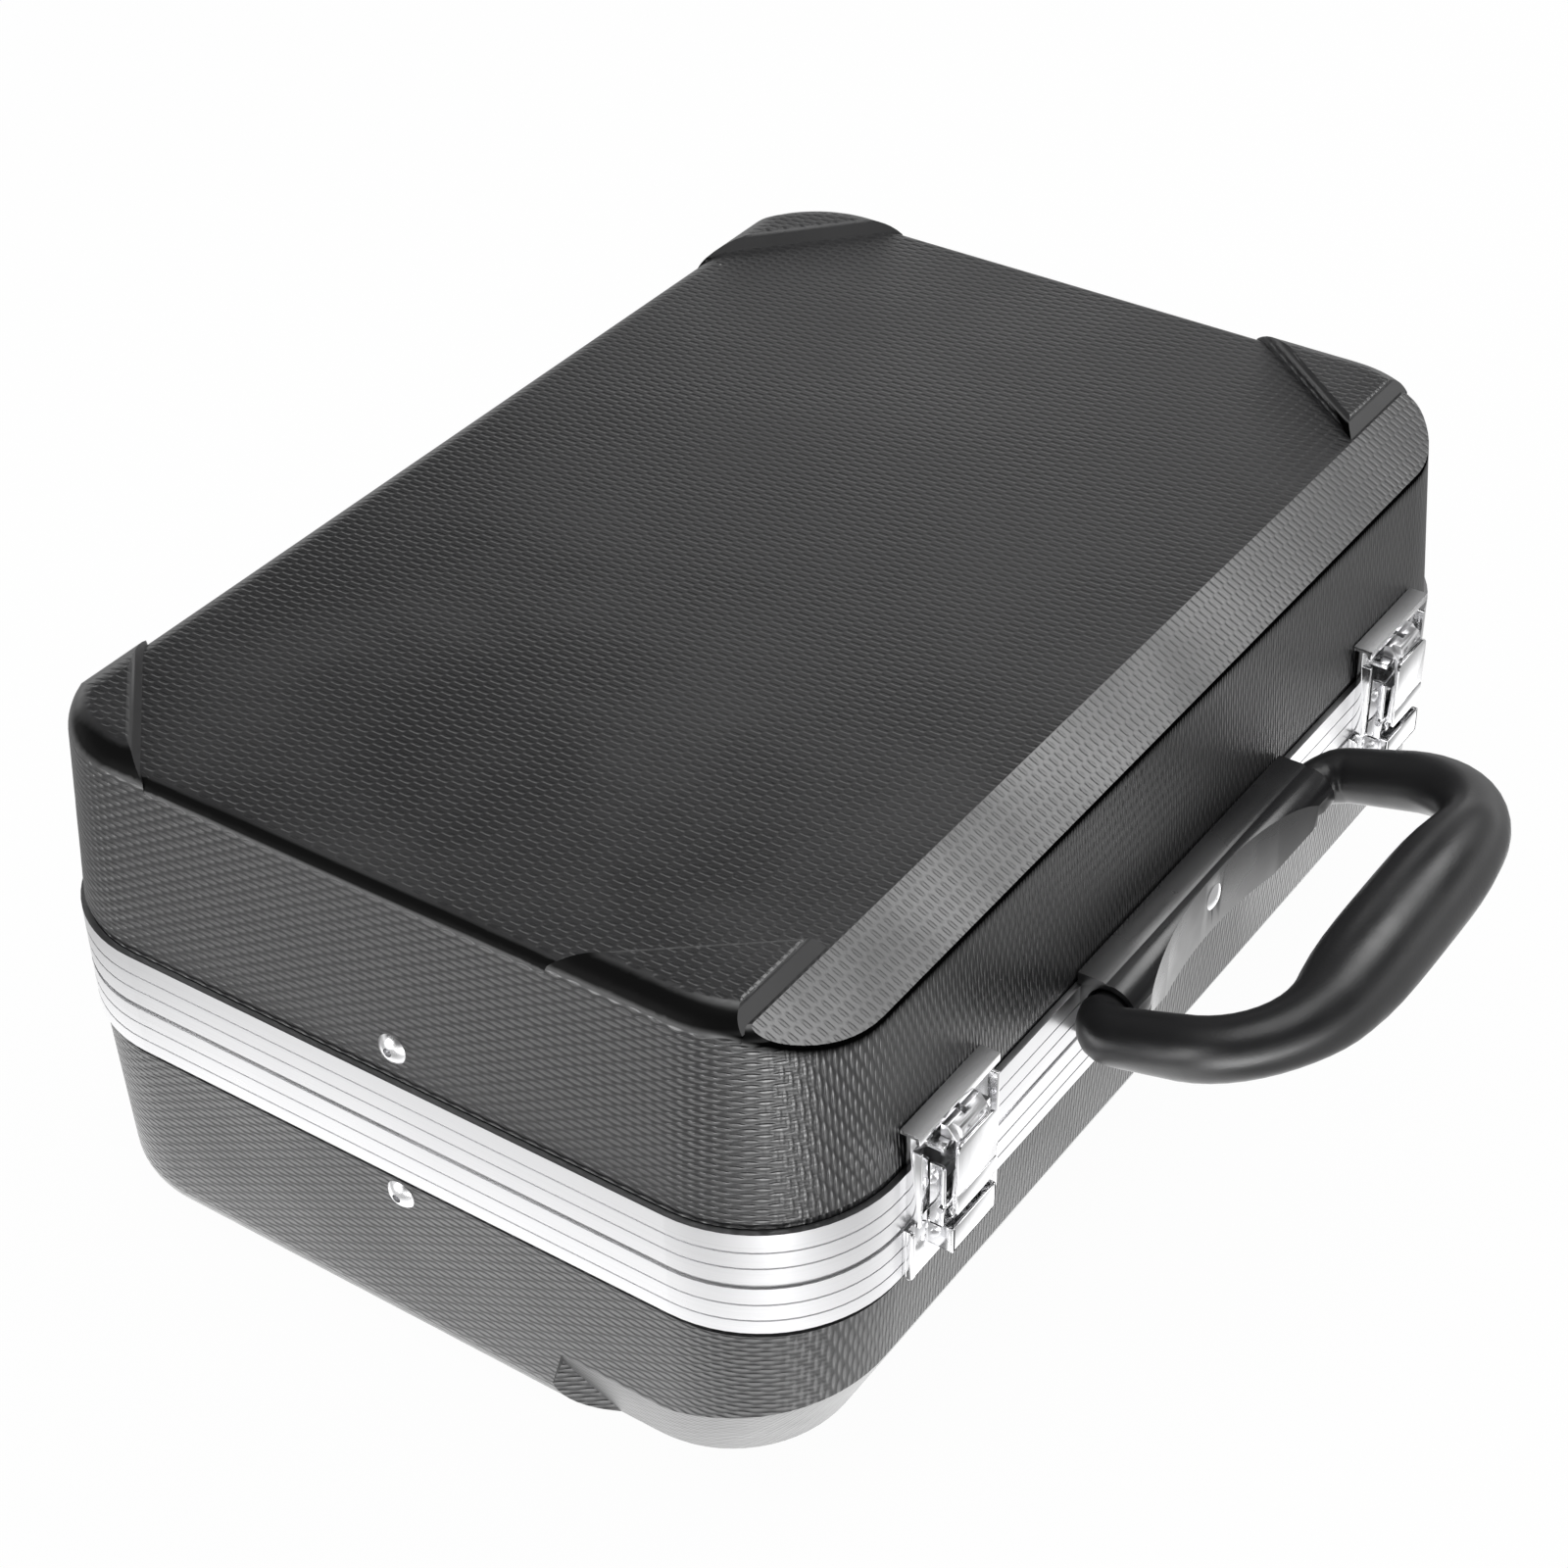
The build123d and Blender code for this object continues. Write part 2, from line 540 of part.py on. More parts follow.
def flat_rivet(x, y_face, z, outward, grip, radius=RIVET_HEAD_RADIUS):
    """Rivet through the front or back: domed head outside, clenched tail inside."""
    head = Pos(x, y_face, z) * Rot(-90 * outward, 0, 0) * dome(radius, RIVET_HEAD_HEIGHT)
    y_in = y_face - outward * grip
    shank = rod_y(RIVET_SHANK_RADIUS, min(y_face, y_in), max(y_face, y_in), x, z)
    y_tail = y_in - outward * RIVET_HEAD_HEIGHT
    tail = rod_y(RIVET_SHANK_RADIUS * RIVET_TAIL, min(y_in, y_tail), max(y_in, y_tail), x, z)
    return one(head + shank + tail)


def through_leg(side_z):
    """Depth of a rivet from the valance's face to the far side of its inner leg."""
    inner = abs(side_z - PARTING) < INNER_LEG_HEIGHT
    return LEG_INNER if inner else NECK_INNER


def drill(shape, rivets):
    """Holes that the rivets fill."""
    for rivet in rivets:
        shape -= rivet
    return shape


# Latches

def latch_sheet_holes(x, z):
    """Rivet holes on both sides of a latch."""
    return [rod_y(RIVET_SHANK_RADIUS, FRONT - 8, FRONT + 2, x + dx, z)
            for dx in (-LATCH_RIVET_SIDE, LATCH_RIVET_SIDE)]


def make_catch_plate(x):
    """Plate on the lid with side flanges, a flange back to the wall and a strike bar."""
    half = LATCH_WIDTH / 2
    bottom = PARTING + PARTING_GAP + SEAT_GAP
    top = PARTING + CATCH_TOP
    back = FRONT + BODY_INSET + LID_SLOPE * (CATCH_TOP - VALANCE_HEIGHT - NECK_HEIGHT)
    plate = block(x - half, x + half, FRONT - LATCH_SHEET, FRONT, bottom, top)
    plate += block(x - half, x + half, FRONT - CATCH_FLANGE, back - SEAT_GAP, top - LATCH_SHEET, top)
    flange_top = top - LATCH_SHEET - CATCH_CORNER_OPEN
    for side in (-1, 1):
        xa = x + side * half
        xb = xa - side * LATCH_SHEET
        flange = block(min(xa, xb), max(xa, xb), FRONT - CATCH_FLANGE, FRONT, bottom, flange_top)
        plate += flange
    lip = FRONT - CATCH_FLANGE
    plate += block(x - half, x + half, lip, lip + LATCH_SHEET, top - CATCH_LIP, top)
    z0 = PARTING + STRIKE_HEIGHT
    bar = STRIKE_WIDTH / 2
    plate += block(x - bar, x + bar, FRONT - STRIKE_REACH, FRONT, z0, z0 + STRIKE_THICKNESS)
    for hole in latch_sheet_holes(x, PARTING + CATCH_RIVET_UP):
        plate -= hole
    return one(plate - latch_window(x))


def latch_window(x):
    """Notch in the two plates, where the lever's inner ends swing."""
    half = WINDOW_WIDTH / 2
    return block(x - half, x + half, FRONT - LATCH_SHEET, FRONT, PARTING - WINDOW_DOWN, PARTING + WINDOW_UP)


def make_base_plate(x):
    """Plate on the base with side flanges and the two-cheeked housing of the lever."""
    half = PLATE_WIDTH / 2
    top = PARTING - PARTING_GAP - SEAT_GAP
    bottom = PARTING - PLATE_BOTTOM
    plate = block(x - half, x + half, FRONT - LATCH_SHEET, FRONT, bottom, top)
    for side in (-1, 1):
        xa = x + side * half
        xb = xa - side * LATCH_SHEET
        plate += block(min(xa, xb), max(xa, xb), FRONT - PLATE_FLANGE, FRONT, bottom, top)
    corner = [e for e in plate.edges().filter_by(Axis.Y) if e.center().Z < bottom + 0.1
              and abs(abs(e.center().X - x) - half) < 0.1]
    plate = fillet(corner, PLATE_CORNER)
    out = FRONT - HOUSING_OUT
    for side in (-1, 1):
        xa = x + side * HOUSING_WIDTH / 2
        xb = xa - side * HOUSING_SHEET
        ear = block(min(xa, xb), max(xa, xb), out, FRONT, PARTING - HOUSING_BOTTOM,
                    PARTING - HOUSING_TOP)
        ear_out = FRONT - LEVER_PIVOT_OUT - EAR_REACH
        ear += block(min(xa, xb), max(xa, xb), ear_out, FRONT - LATCH_SHEET - SEAT_GAP,
                     PARTING - HOUSING_TOP - OVERLAP, PARTING + LEVER_PIVOT_UP + EAR_REACH)
        plate += ear
    plate += block(x - HOUSING_WIDTH / 2, x + HOUSING_WIDTH / 2, out, out + HOUSING_SHEET,
                   PARTING - HOUSING_BOTTOM, PARTING - HOUSING_TOP)
    plate += block(x - HOUSING_WIDTH / 2, x + HOUSING_WIDTH / 2, out, FRONT, PARTING - HOUSING_BOTTOM,
                   PARTING - HOUSING_BOTTOM + HOUSING_SHEET)
    pivot_y, pivot_z = lever_pivot()
    plate -= rod_x(LEVER_PIN_RADIUS, x - HOUSING_WIDTH, x + HOUSING_WIDTH, pivot_y, pivot_z)
    for hole in latch_sheet_holes(x, PARTING - PLATE_RIVET_DOWN):
        plate -= hole
    return one(plate - latch_window(x))


def lever_pivot():
    """Place of the lever's pivot in Y and Z."""
    return FRONT - LEVER_PIVOT_OUT, PARTING + LEVER_PIVOT_UP


def hook_pivot():
    """Place of the hook's pivot in Y and Z with the lever closed."""
    y, z = lever_pivot()
    angle = math.radians(HOOK_OVER_CENTRE)
    return y - HOOK_THROW * math.sin(angle), z - HOOK_THROW * math.cos(angle)


def make_lever_pins(x):
    """Two short pins, from the housing's ears into the lever's cheeks."""
    y, z = lever_pivot()
    inner = LEVER_WIDTH / 2 - LEVER_SHEET
    outer = HOUSING_WIDTH / 2 + LEVER_PIN_HEAD
    return [one(rod_x(LEVER_PIN_RADIUS, x - outer, x - inner, y, z)),
            one(rod_x(LEVER_PIN_RADIUS, x + inner, x + outer, y, z))]


def make_lever(x):
    """Flap with two cheeks that carry both pivots, and a shallow pressed panel."""
    y, z = lever_pivot()
    hy, hz = hook_pivot()
    half = LEVER_WIDTH / 2
    inner = y - LEVER_FACE_OUT
    flap = block(x - half, x + half, inner - LEVER_SHEET, inner, z + LEVER_FOOT, z + LEVER_TOP)
    shoulder = [e for e in flap.edges().filter_by(Axis.Y) if e.center().Z > z + LEVER_TOP - 0.1]
    flap = fillet(shoulder, LEVER_SHOULDER)
    outer = inner - LEVER_SHEET
    panel = block(x - half + PANEL_SIDE, x + half - PANEL_SIDE, outer - PANEL_DEPTH, outer + PANEL_DEPTH,
                  z + PANEL_FOOT, z + LEVER_TOP - PANEL_TOP)
    panel = fillet(panel.edges().filter_by(Axis.Y), PANEL_CORNER)
    flap -= panel
    for side in (-1, 1):
        xa = x + side * half
        xb = xa - side * LEVER_SHEET
        x0, x1 = min(xa, xb), max(xa, xb)
        cheek = block(x0, x1, inner, y + CHEEK_BACK, z - LEVER_FOOT, z + LEVER_TOP * CHEEK_SHARE)
        cheek -= prism_yz([(y + CHEEK_SLOPE, z + CHEEK_SLOPE_UP), (y + CHEEK_SLOPE, z + LEVER_TOP),
                           (inner, z + LEVER_TOP), (inner, z + LEVER_TOP * CHEEK_SHARE)])
        cheek += rod_x(CHEEK_EYE_RADIUS, x0, x1, y, z)
        cheek += rod_x(CHEEK_EYE_RADIUS, x0, x1, hy, hz)
        flap += cheek
    bore = LEVER_PIN_RADIUS + PIN_CLEARANCE
    flap -= rod_x(bore, x - LEVER_WIDTH, x + LEVER_WIDTH, y, z)
    flap -= rod_x(HOOK_PIN_RADIUS, x - LEVER_WIDTH, x + LEVER_WIDTH, hy, hz)
    return one(flap)


def make_hook_pin(x):
    """Pin that carries the hook between the lever's cheeks."""
    y, z = hook_pivot()
    half = LEVER_WIDTH / 2
    return one(rod_x(HOOK_PIN_RADIUS, x - half, x + half, y, z))


def make_hook(x):
    """Hook plate with an eye on the pin and two claws over the strike bar."""
    y, z = hook_pivot()
    half = HOOK_WIDTH / 2
    strike_out = FRONT - STRIKE_REACH
    inner = strike_out - HOOK_CLEARANCE
    claw_z = PARTING + STRIKE_HEIGHT + STRIKE_THICKNESS + HOOK_CLEARANCE
    hook = block(x - half, x + half, inner - HOOK_SHEET, inner, z, claw_z + CLAW_HEIGHT)
    hook += rod_x(HOOK_EYE_RADIUS, x - half, x + half, y, z)
    top = claw_z + CLAW_HEIGHT
    claw_out = inner - HOOK_SHEET - CLAW_OUT
    claw = block(x - half, x + half, claw_out, FRONT - LATCH_SHEET - CLAW_BACK, claw_z, top)
    outer = [e for e in claw.edges().filter_by(Axis.X) if e.center().Z > claw_z + CLAW_HEIGHT / 2]
    claw = fillet(outer, CLAW_ROUND)
    claw -= block(x - CLAW_SLOT / 2, x + CLAW_SLOT / 2, inner + HOOK_CLEARANCE, FRONT, claw_z, top)
    hook += claw
    for side in (-1, 1):
        xc = x + side * half / 2
        hook -= block(xc - CLAW_EYE / 2, xc + CLAW_EYE / 2, claw_out - HOOK_SHEET, inner - HOOK_SHEET,
                      claw_z + CLAW_EYE_FOOT, claw_z + CLAW_EYE_TOP)
    hook -= rod_x(HOOK_PIN_RADIUS + PIN_CLEARANCE, x - LEVER_WIDTH, x + LEVER_WIDTH, y, z)
    return one(hook)


# Handle

def handle_pivot():
    """Place of the handle's pivot line in Y and Z."""
    return FRONT - HANDLE_PIVOT_OUT, PARTING + HANDLE_PIVOT_UP


def make_handle_bracket():
    """Moulded cover with a hood over the grip's ends and a flat face round its middle rivet."""
    y, z = handle_pivot()
    half = BRACKET_LENGTH / 2
    top, bottom = PARTING + BRACKET_TOP, PARTING + BRACKET_BOTTOM
    wall_y = FRONT + BODY_INSET
    back = FRONT
    hood = rod_x(HOOD_RADIUS, -half, half, y, z)
    flat = top - HOOD_TOP_GAP
    shoulder, shoulder_z = HOOD_SHOULDER
    chin, chin_z = HOOD_CHIN
    body = prism_yz([(back, bottom), (back, flat), (y + HOOD_FLAT, flat),
                     (y - HOOD_RADIUS * shoulder, z + shoulder_z), (y - HOOD_RADIUS, z),
                     (y - HOOD_RADIUS * chin, z + chin_z), (y - HOOD_LIP, bottom)], half)
    near = y - 2 * HOOD_RADIUS
    shape = hood & block(-half, half, near, back, bottom, top)
    shape += body
    depth = HANDLE_PIVOT_OUT + HOOD_RADIUS - BRACKET_FACE_OUT
    sweep = (BRACKET_ROUND ** 2 + depth ** 2) / (2 * depth)
    shape -= Pos(0, bracket_face_y() - sweep, z) * Cylinder(sweep, 2 * (top - bottom))
    shape -= rod_y(HANDLE_RIVET_RADIUS + SEAT_GAP, near, bracket_face_y(), 0, z)
    cavity_x = half - GRIP_OVERLAP - CAVITY_END
    cavity = rod_x(GRIP_END_RADIUS + GRIP_END_GAP, cavity_x, half + 1, y, z)
    cavity += block(cavity_x, half + 1, near, y, bottom - 1, z)
    shape = shape - cavity - mirror_x(cavity)
    lip = block(-half, half, back - BRACKET_LIP, wall_y - SEAT_GAP, PARTING + VALANCE_HEIGHT + SEAT_GAP, flat)
    shape += lip
    pin_hole = rod_x(HANDLE_PIN_RADIUS, half - GRIP_OVERLAP - BOSS_LENGTH, half, y, z)
    shape = shape - pin_hole - mirror_x(pin_hole)
    shape -= rod_y(RIVET_SHANK_RADIUS, near, back + 1, 0, z)
    return one(shape)


def grip_line(count_arc=5):
    """Points of the grip's bent middle line in its own plane (x, out), with their directions."""
    a, d = GRIP_HALF_WIDTH, GRIP_REACH
    e, c = GRIP_ELBOW_BEND, GRIP_CORNER_BEND
    points = [(-(a - e), 0.0, -1.0, 0.0)]
    for k in range(1, count_arc + 1):
        t = math.radians(90 * k / count_arc)
        points.append((-(a - e) - e * math.sin(t), e - e * math.cos(t), -math.cos(t), math.sin(t)))
    for k in range(count_arc + 1):
        t = math.radians(90 * k / count_arc)
        points.append((-a + c - c * math.cos(t), d - c + c * math.sin(t), math.sin(t), math.cos(t)))
    points.append((-GRIP_HALF_WIDTH / 4, d, 1.0, 0.0))
    mirrored = [(-x, o, dx, -do) for x, o, dx, do in reversed(points)]
    return points + mirrored


def grip_radius(x, out):
    """Radius of the grip: thin ends, even arms and a thick middle."""
    if out < OVERLAP:
        return GRIP_END_RADIUS
    if out < GRIP_ELBOW_BEND + OVERLAP:
        share = out / GRIP_ELBOW_BEND
        return GRIP_END_RADIUS + (GRIP_ELBOW_RADIUS - GRIP_END_RADIUS) * min(1.0, GRIP_ELBOW_START + share)
    swell = math.exp(-(abs(x) / (GRIP_SWELL * GRIP_HALF_WIDTH)) ** 4)
    return GRIP_ARM_RADIUS + (GRIP_MIDDLE_RADIUS - GRIP_ARM_RADIUS) * swell


def make_handle_grip():
    """D-shaped moulded grip, round in section."""
    y, z = handle_pivot()
    tilt = math.radians(GRIP_TILT)
    sections = []
    for x, out, dx, do in grip_line():
        origin = (x, y - out * math.cos(tilt), z + out * math.sin(tilt))
        direction = (dx, -do * math.cos(tilt), do * math.sin(tilt))
        plane = Plane(origin=origin, x_dir=(0, math.sin(tilt), math.cos(tilt)), z_dir=direction)
        sections.append(plane * Circle(grip_radius(x, out)))
    end = BRACKET_LENGTH / 2 - GRIP_OVERLAP
    stub = rod_x(GRIP_END_RADIUS, end, GRIP_HALF_WIDTH - GRIP_ELBOW_BEND + SEAT_GAP, y, z)
    grip = loft(sections) + stub + mirror_x(stub)
    hole = rod_x(HANDLE_PIN_RADIUS + PIN_CLEARANCE, end - 1, end + HANDLE_PIN_DEPTH + PIN_END_GAP, y, z)
    return one(grip - hole - mirror_x(hole))


def make_handle_pin(side):
    """Steel pin from the bracket's boss into the grip's end."""
    y, z = handle_pivot()
    end = BRACKET_LENGTH / 2 - GRIP_OVERLAP
    x0, x1 = end - BOSS_LENGTH, end + HANDLE_PIN_DEPTH
    pin = rod_x(HANDLE_PIN_RADIUS, x0, x1, y, z)
    return one(pin if side > 0 else mirror_x(pin))


def bracket_face_y():
    """Place of the hollow front of the bracket at its middle."""
    return FRONT - BRACKET_FACE_OUT


def make_handle_rivet():
    """Middle rivet of the bracket, through the valance and the backing plate."""
    z = handle_pivot()[1]
    face = bracket_face_y()
    grip = FRONT + LEG_INNER + BACKING_THICKNESS - face
    return flat_rivet(0.0, face, z, -1, grip, HANDLE_RIVET_RADIUS)


def make_backing_plate():
    """Steel strip behind the valance that spreads the handle's pull."""
    half = BRACKET_LENGTH / 2
    y0 = FRONT + LEG_INNER
    return block(-half, half, y0, y0 + BACKING_THICKNESS, PARTING + BACKING_FOOT, PARTING + INNER_LEG_HEIGHT)


# Lid stay

def stay_place(up):
    """Location on the side wall with its local Z pointing out of the case."""
    rise = STAY_RISE if up else STAY_DROP
    slope = LID_SLOPE if up else BASE_SLOPE
    x = -CASE_LENGTH / 2 + BODY_INSET + slope * (rise - VALANCE_HEIGHT - NECK_HEIGHT)
    z = PARTING + rise if up else PARTING - rise
    lean = LID_DRAFT if up else -BASE_DRAFT
    shift = STAY_LID_SHIFT if up else 0.0
    return Pos(x, shift, z) * Rot(0, -90 + lean, 0)


def make_stay_rivet(up):
    """Blind rivet with a bored, domed head outside and a clenched tail inside."""
    inner = STRAP_DEPTH + STRAP_THICKNESS + SEAT_GAP + WASHER_THICKNESS
    rivet = dome(STAY_RIVET_RADIUS, STAY_RIVET_HEIGHT)
    rivet += Pos(0, 0, -inner / 2) * Cylinder(STAY_SHANK_RADIUS, inner)
    rivet += Pos(0, 0, -inner - STAY_TAIL / 2) * Cylinder(STAY_SHANK_RADIUS * RIVET_TAIL, STAY_TAIL)
    bore = Cylinder(STAY_RIVET_BORE, 2 * (STAY_RIVET_HEIGHT + STAY_BORE_DEPTH))
    rivet -= Pos(0, 0, STAY_RIVET_HEIGHT) * bore
    return one(stay_place(up) * rivet)


def stay_hole(up):
    """Hole in the wall for a stay rivet, with a flat seat inside for its spacer."""
    hole = Cylinder(STAY_SHANK_RADIUS, 4 * WALL)
    seat = Pos(0, 0, -WALL - SPACER_THICKNESS / 2) * Cylinder(WASHER_RADIUS + SEAT_GAP, SPACER_THICKNESS)
    return stay_place(up) * (hole + seat)


def make_stay_washer(up):
    """Flat washer between the strap and the rivet's tail."""
    depth = STRAP_DEPTH + STRAP_THICKNESS + SEAT_GAP + WASHER_THICKNESS / 2
    return stay_ring(up, depth, WASHER_THICKNESS)


def make_stay_spacer(up):
    """Thick washer that holds the strap clear of the valances' inner legs."""
    depth = WALL + SPACER_THICKNESS / 2
    return stay_ring(up, depth, SPACER_THICKNESS)


def stay_ring(up, depth, thickness):
    """Washer on a stay rivet, its middle this deep behind the outer face of the wall."""
    ring_face = Cylinder(WASHER_RADIUS, thickness) - Cylinder(STAY_SHANK_RADIUS, 2 * thickness)
    return one(stay_place(up) * Pos(0, 0, -depth) * ring_face)


def stay_line_point(up, along):
    """Point on the strap's wall side, along the wall from the rivet, towards the parting if positive."""
    place = stay_place(up)
    direction = 1.0 if up else -1.0
    point = (place * Pos(-along * direction, 0, -STRAP_DEPTH)).position
    return point.X, point.Z


def make_stay_strap():
    """Woven strap from rivet to rivet, bowed clear of the valances' inner legs."""
    points = [stay_line_point(True, -STRAP_END), stay_line_point(True, STRAP_STRAIGHT)]
    clear = -CASE_LENGTH / 2 + LEG_INNER + SEAT_GAP
    points += [(clear, PARTING + INNER_LEG_HEIGHT), (clear + STRAP_BULGE, PARTING),
               (clear, PARTING - INNER_LEG_HEIGHT)]
    points += [stay_line_point(False, STRAP_STRAIGHT), stay_line_point(False, -STRAP_END)]
    strap = extrude(strap_face(points), amount=STRAP_WIDTH / 2, dir=(0, 1, 0), both=True)
    for up in (True, False):
        hole = stay_place(up) * Pos(0, 0, -WALL) * Cylinder(STAY_SHANK_RADIUS, 4 * WALL)
        strap -= hole
    return one(strap)


def strap_face(points):
    """Face of even thickness on the inner side of a line of (x, z) points."""
    normals = []
    for (xa, za), (xb, zb) in zip(points[:-1], points[1:]):
        length = math.hypot(xb - xa, zb - za)
        normals.append((-(zb - za) / length, (xb - xa) / length))
    inner = []
    for k, (px, pz) in enumerate(points):
        a = normals[max(0, k - 1)]
        b = normals[min(k, len(normals) - 1)]
        nx, nz = a[0] + b[0], a[1] + b[1]
        scale = 2 * STRAP_THICKNESS / (nx * nx + nz * nz)
        inner.append((px + nx * scale, pz + nz * scale))
    loop = points + inner[::-1]
    return make_face(Polyline(*[(px, 0, pz) for px, pz in loop], close=True))


# Inside

def stay_pocket(z0, z1, reach):
    """Room for the strap and its rivets beside the left wall."""
    left = -CASE_LENGTH / 2
    return block(left, left + reach, -STAY_POCKET, STAY_POCKET, z0, z1)


def lining_form(offset, skirt_inset, low, wide):
    """Block inside the lid, offset from its outside, with a straight skirt below."""
    above = lid_form(offset) & slab(skirt_inset, wide - 1, LID_TOP)
    return above + slab(skirt_inset, low, wide) - lid_bevel(offset)


def make_lid_lining():
    """Plush-covered tray that lines the lid above the valance's inner leg."""
    low = PARTING + INNER_LEG_HEIGHT + SEAT_GAP
    wide = PARTING + VALANCE_HEIGHT + NECK_HEIGHT + WALL
    lining = lining_form(WALL + SEAT_GAP, NECK_INNER + SEAT_GAP, low, wide)
    lining -= lining_form(WALL + SEAT_GAP + LINING, NECK_INNER + SEAT_GAP + LINING, low - 1, wide)
    lining -= stay_pocket(low - 1, PARTING + STAY_RISE + STAY_POCKET_END, STAY_NOTCH_REACH)
    return one(lining)


def make_lid_cushion():
    """Foam cushion under the lid's panel, crowned towards the instrument."""
    length, width, thick = CUSHION_LENGTH, CUSHION_WIDTH, CUSHION_THICKNESS
    top = LID_TOP - WALL - LINING - 2 * SEAT_GAP
    shift = LID_BEVEL_DEPTH / 2
    flat = Pos(0, shift, top - thick / 2) * Box(length, width, thick)
    flat = fillet(flat.edges().filter_by(Axis.Z), CUSHION_CORNER)
    low = flat.faces().sort_by(Axis.Z)[0]
    cushion = fillet(low.edges(), thick * CUSHION_EDGE)
    ball = (length ** 2 / 4 + CUSHION_CROWN ** 2) / (2 * CUSHION_CROWN)
    crown = Pos(0, shift, top - thick - CUSHION_CROWN + ball) * Sphere(ball)
    inset = 2 * CUSHION_CROWN_INSET
    pillow = Box(length - inset, width - inset, CUSHION_CROWN + SEAT_GAP)
    pillow = Pos(0, shift, top - thick - (CUSHION_CROWN - SEAT_GAP) / 2) * pillow
    pillow = fillet(pillow.edges().filter_by(Axis.Z), CUSHION_CORNER) & crown
    return one(cushion + pillow)


def make_base_insert():
    """Foam insert with the trumpet's recess, an accessory pocket and two mouthpiece wells."""
    floor = WALL + SEAT_GAP
    top = PARTING - INSERT_TOP_GAP
    bottom_inset = BODY_INNER + BASE_SLOPE * BASE_DRAFTED + INSERT_SIDE_GAP
    insert = loft([plan(bottom_inset, floor), plan(LEG_INNER + INSERT_EDGE, top)], ruled=True)
    insert = fillet(insert.faces().sort_by(Axis.Z)[0].edges(), BASE_EDGE_RADIUS)
    insert -= base_bevel(WALL + INSERT_BEVEL_GAP)
    face = RectangleRounded(RECESS_LENGTH, RECESS_WIDTH, RECESS_CORNER)
    recess = Pos(RECESS_X, HOLLOW_BACK, top) * extrude(face, amount=-RECESS_DEPTH)
    recess += Pos(BELL_X, HOLLOW_BACK, top - RECESS_DEPTH / 2) * Cylinder(BELL_DIAMETER / 2, RECESS_DEPTH)
    face = RectangleRounded(POCKET_LENGTH, POCKET_WIDTH, POCKET_CORNER)
    pocket = Pos(POCKET_X, HOLLOW_BACK, top) * extrude(face, amount=-POCKET_DEPTH)
    insert = insert - recess - pocket
    for x in MOUTHPIECE_PLACES:
        well = Cylinder(MOUTHPIECE_DIAMETER / 2, MOUTHPIECE_DEPTH)
        insert -= Pos(x, MOUTHPIECE_Y, top - MOUTHPIECE_DEPTH / 2) * well
    insert = fillet(insert.faces().sort_by(Axis.Z)[-1].edges(), INSERT_ROUND)
    insert -= stay_pocket(PARTING - STAY_DROP - STAY_POCKET_END, top + 1, STAY_POCKET_REACH)
    return one(insert)


def rivet_pair(x, half_gap, y_face, z, outward, grip, radius=RIVET_HEAD_RADIUS):
    """Two rivets on either side of x."""
    return [flat_rivet(x + dx, y_face, z, outward, grip, radius) for dx in (-half_gap, half_gap)]


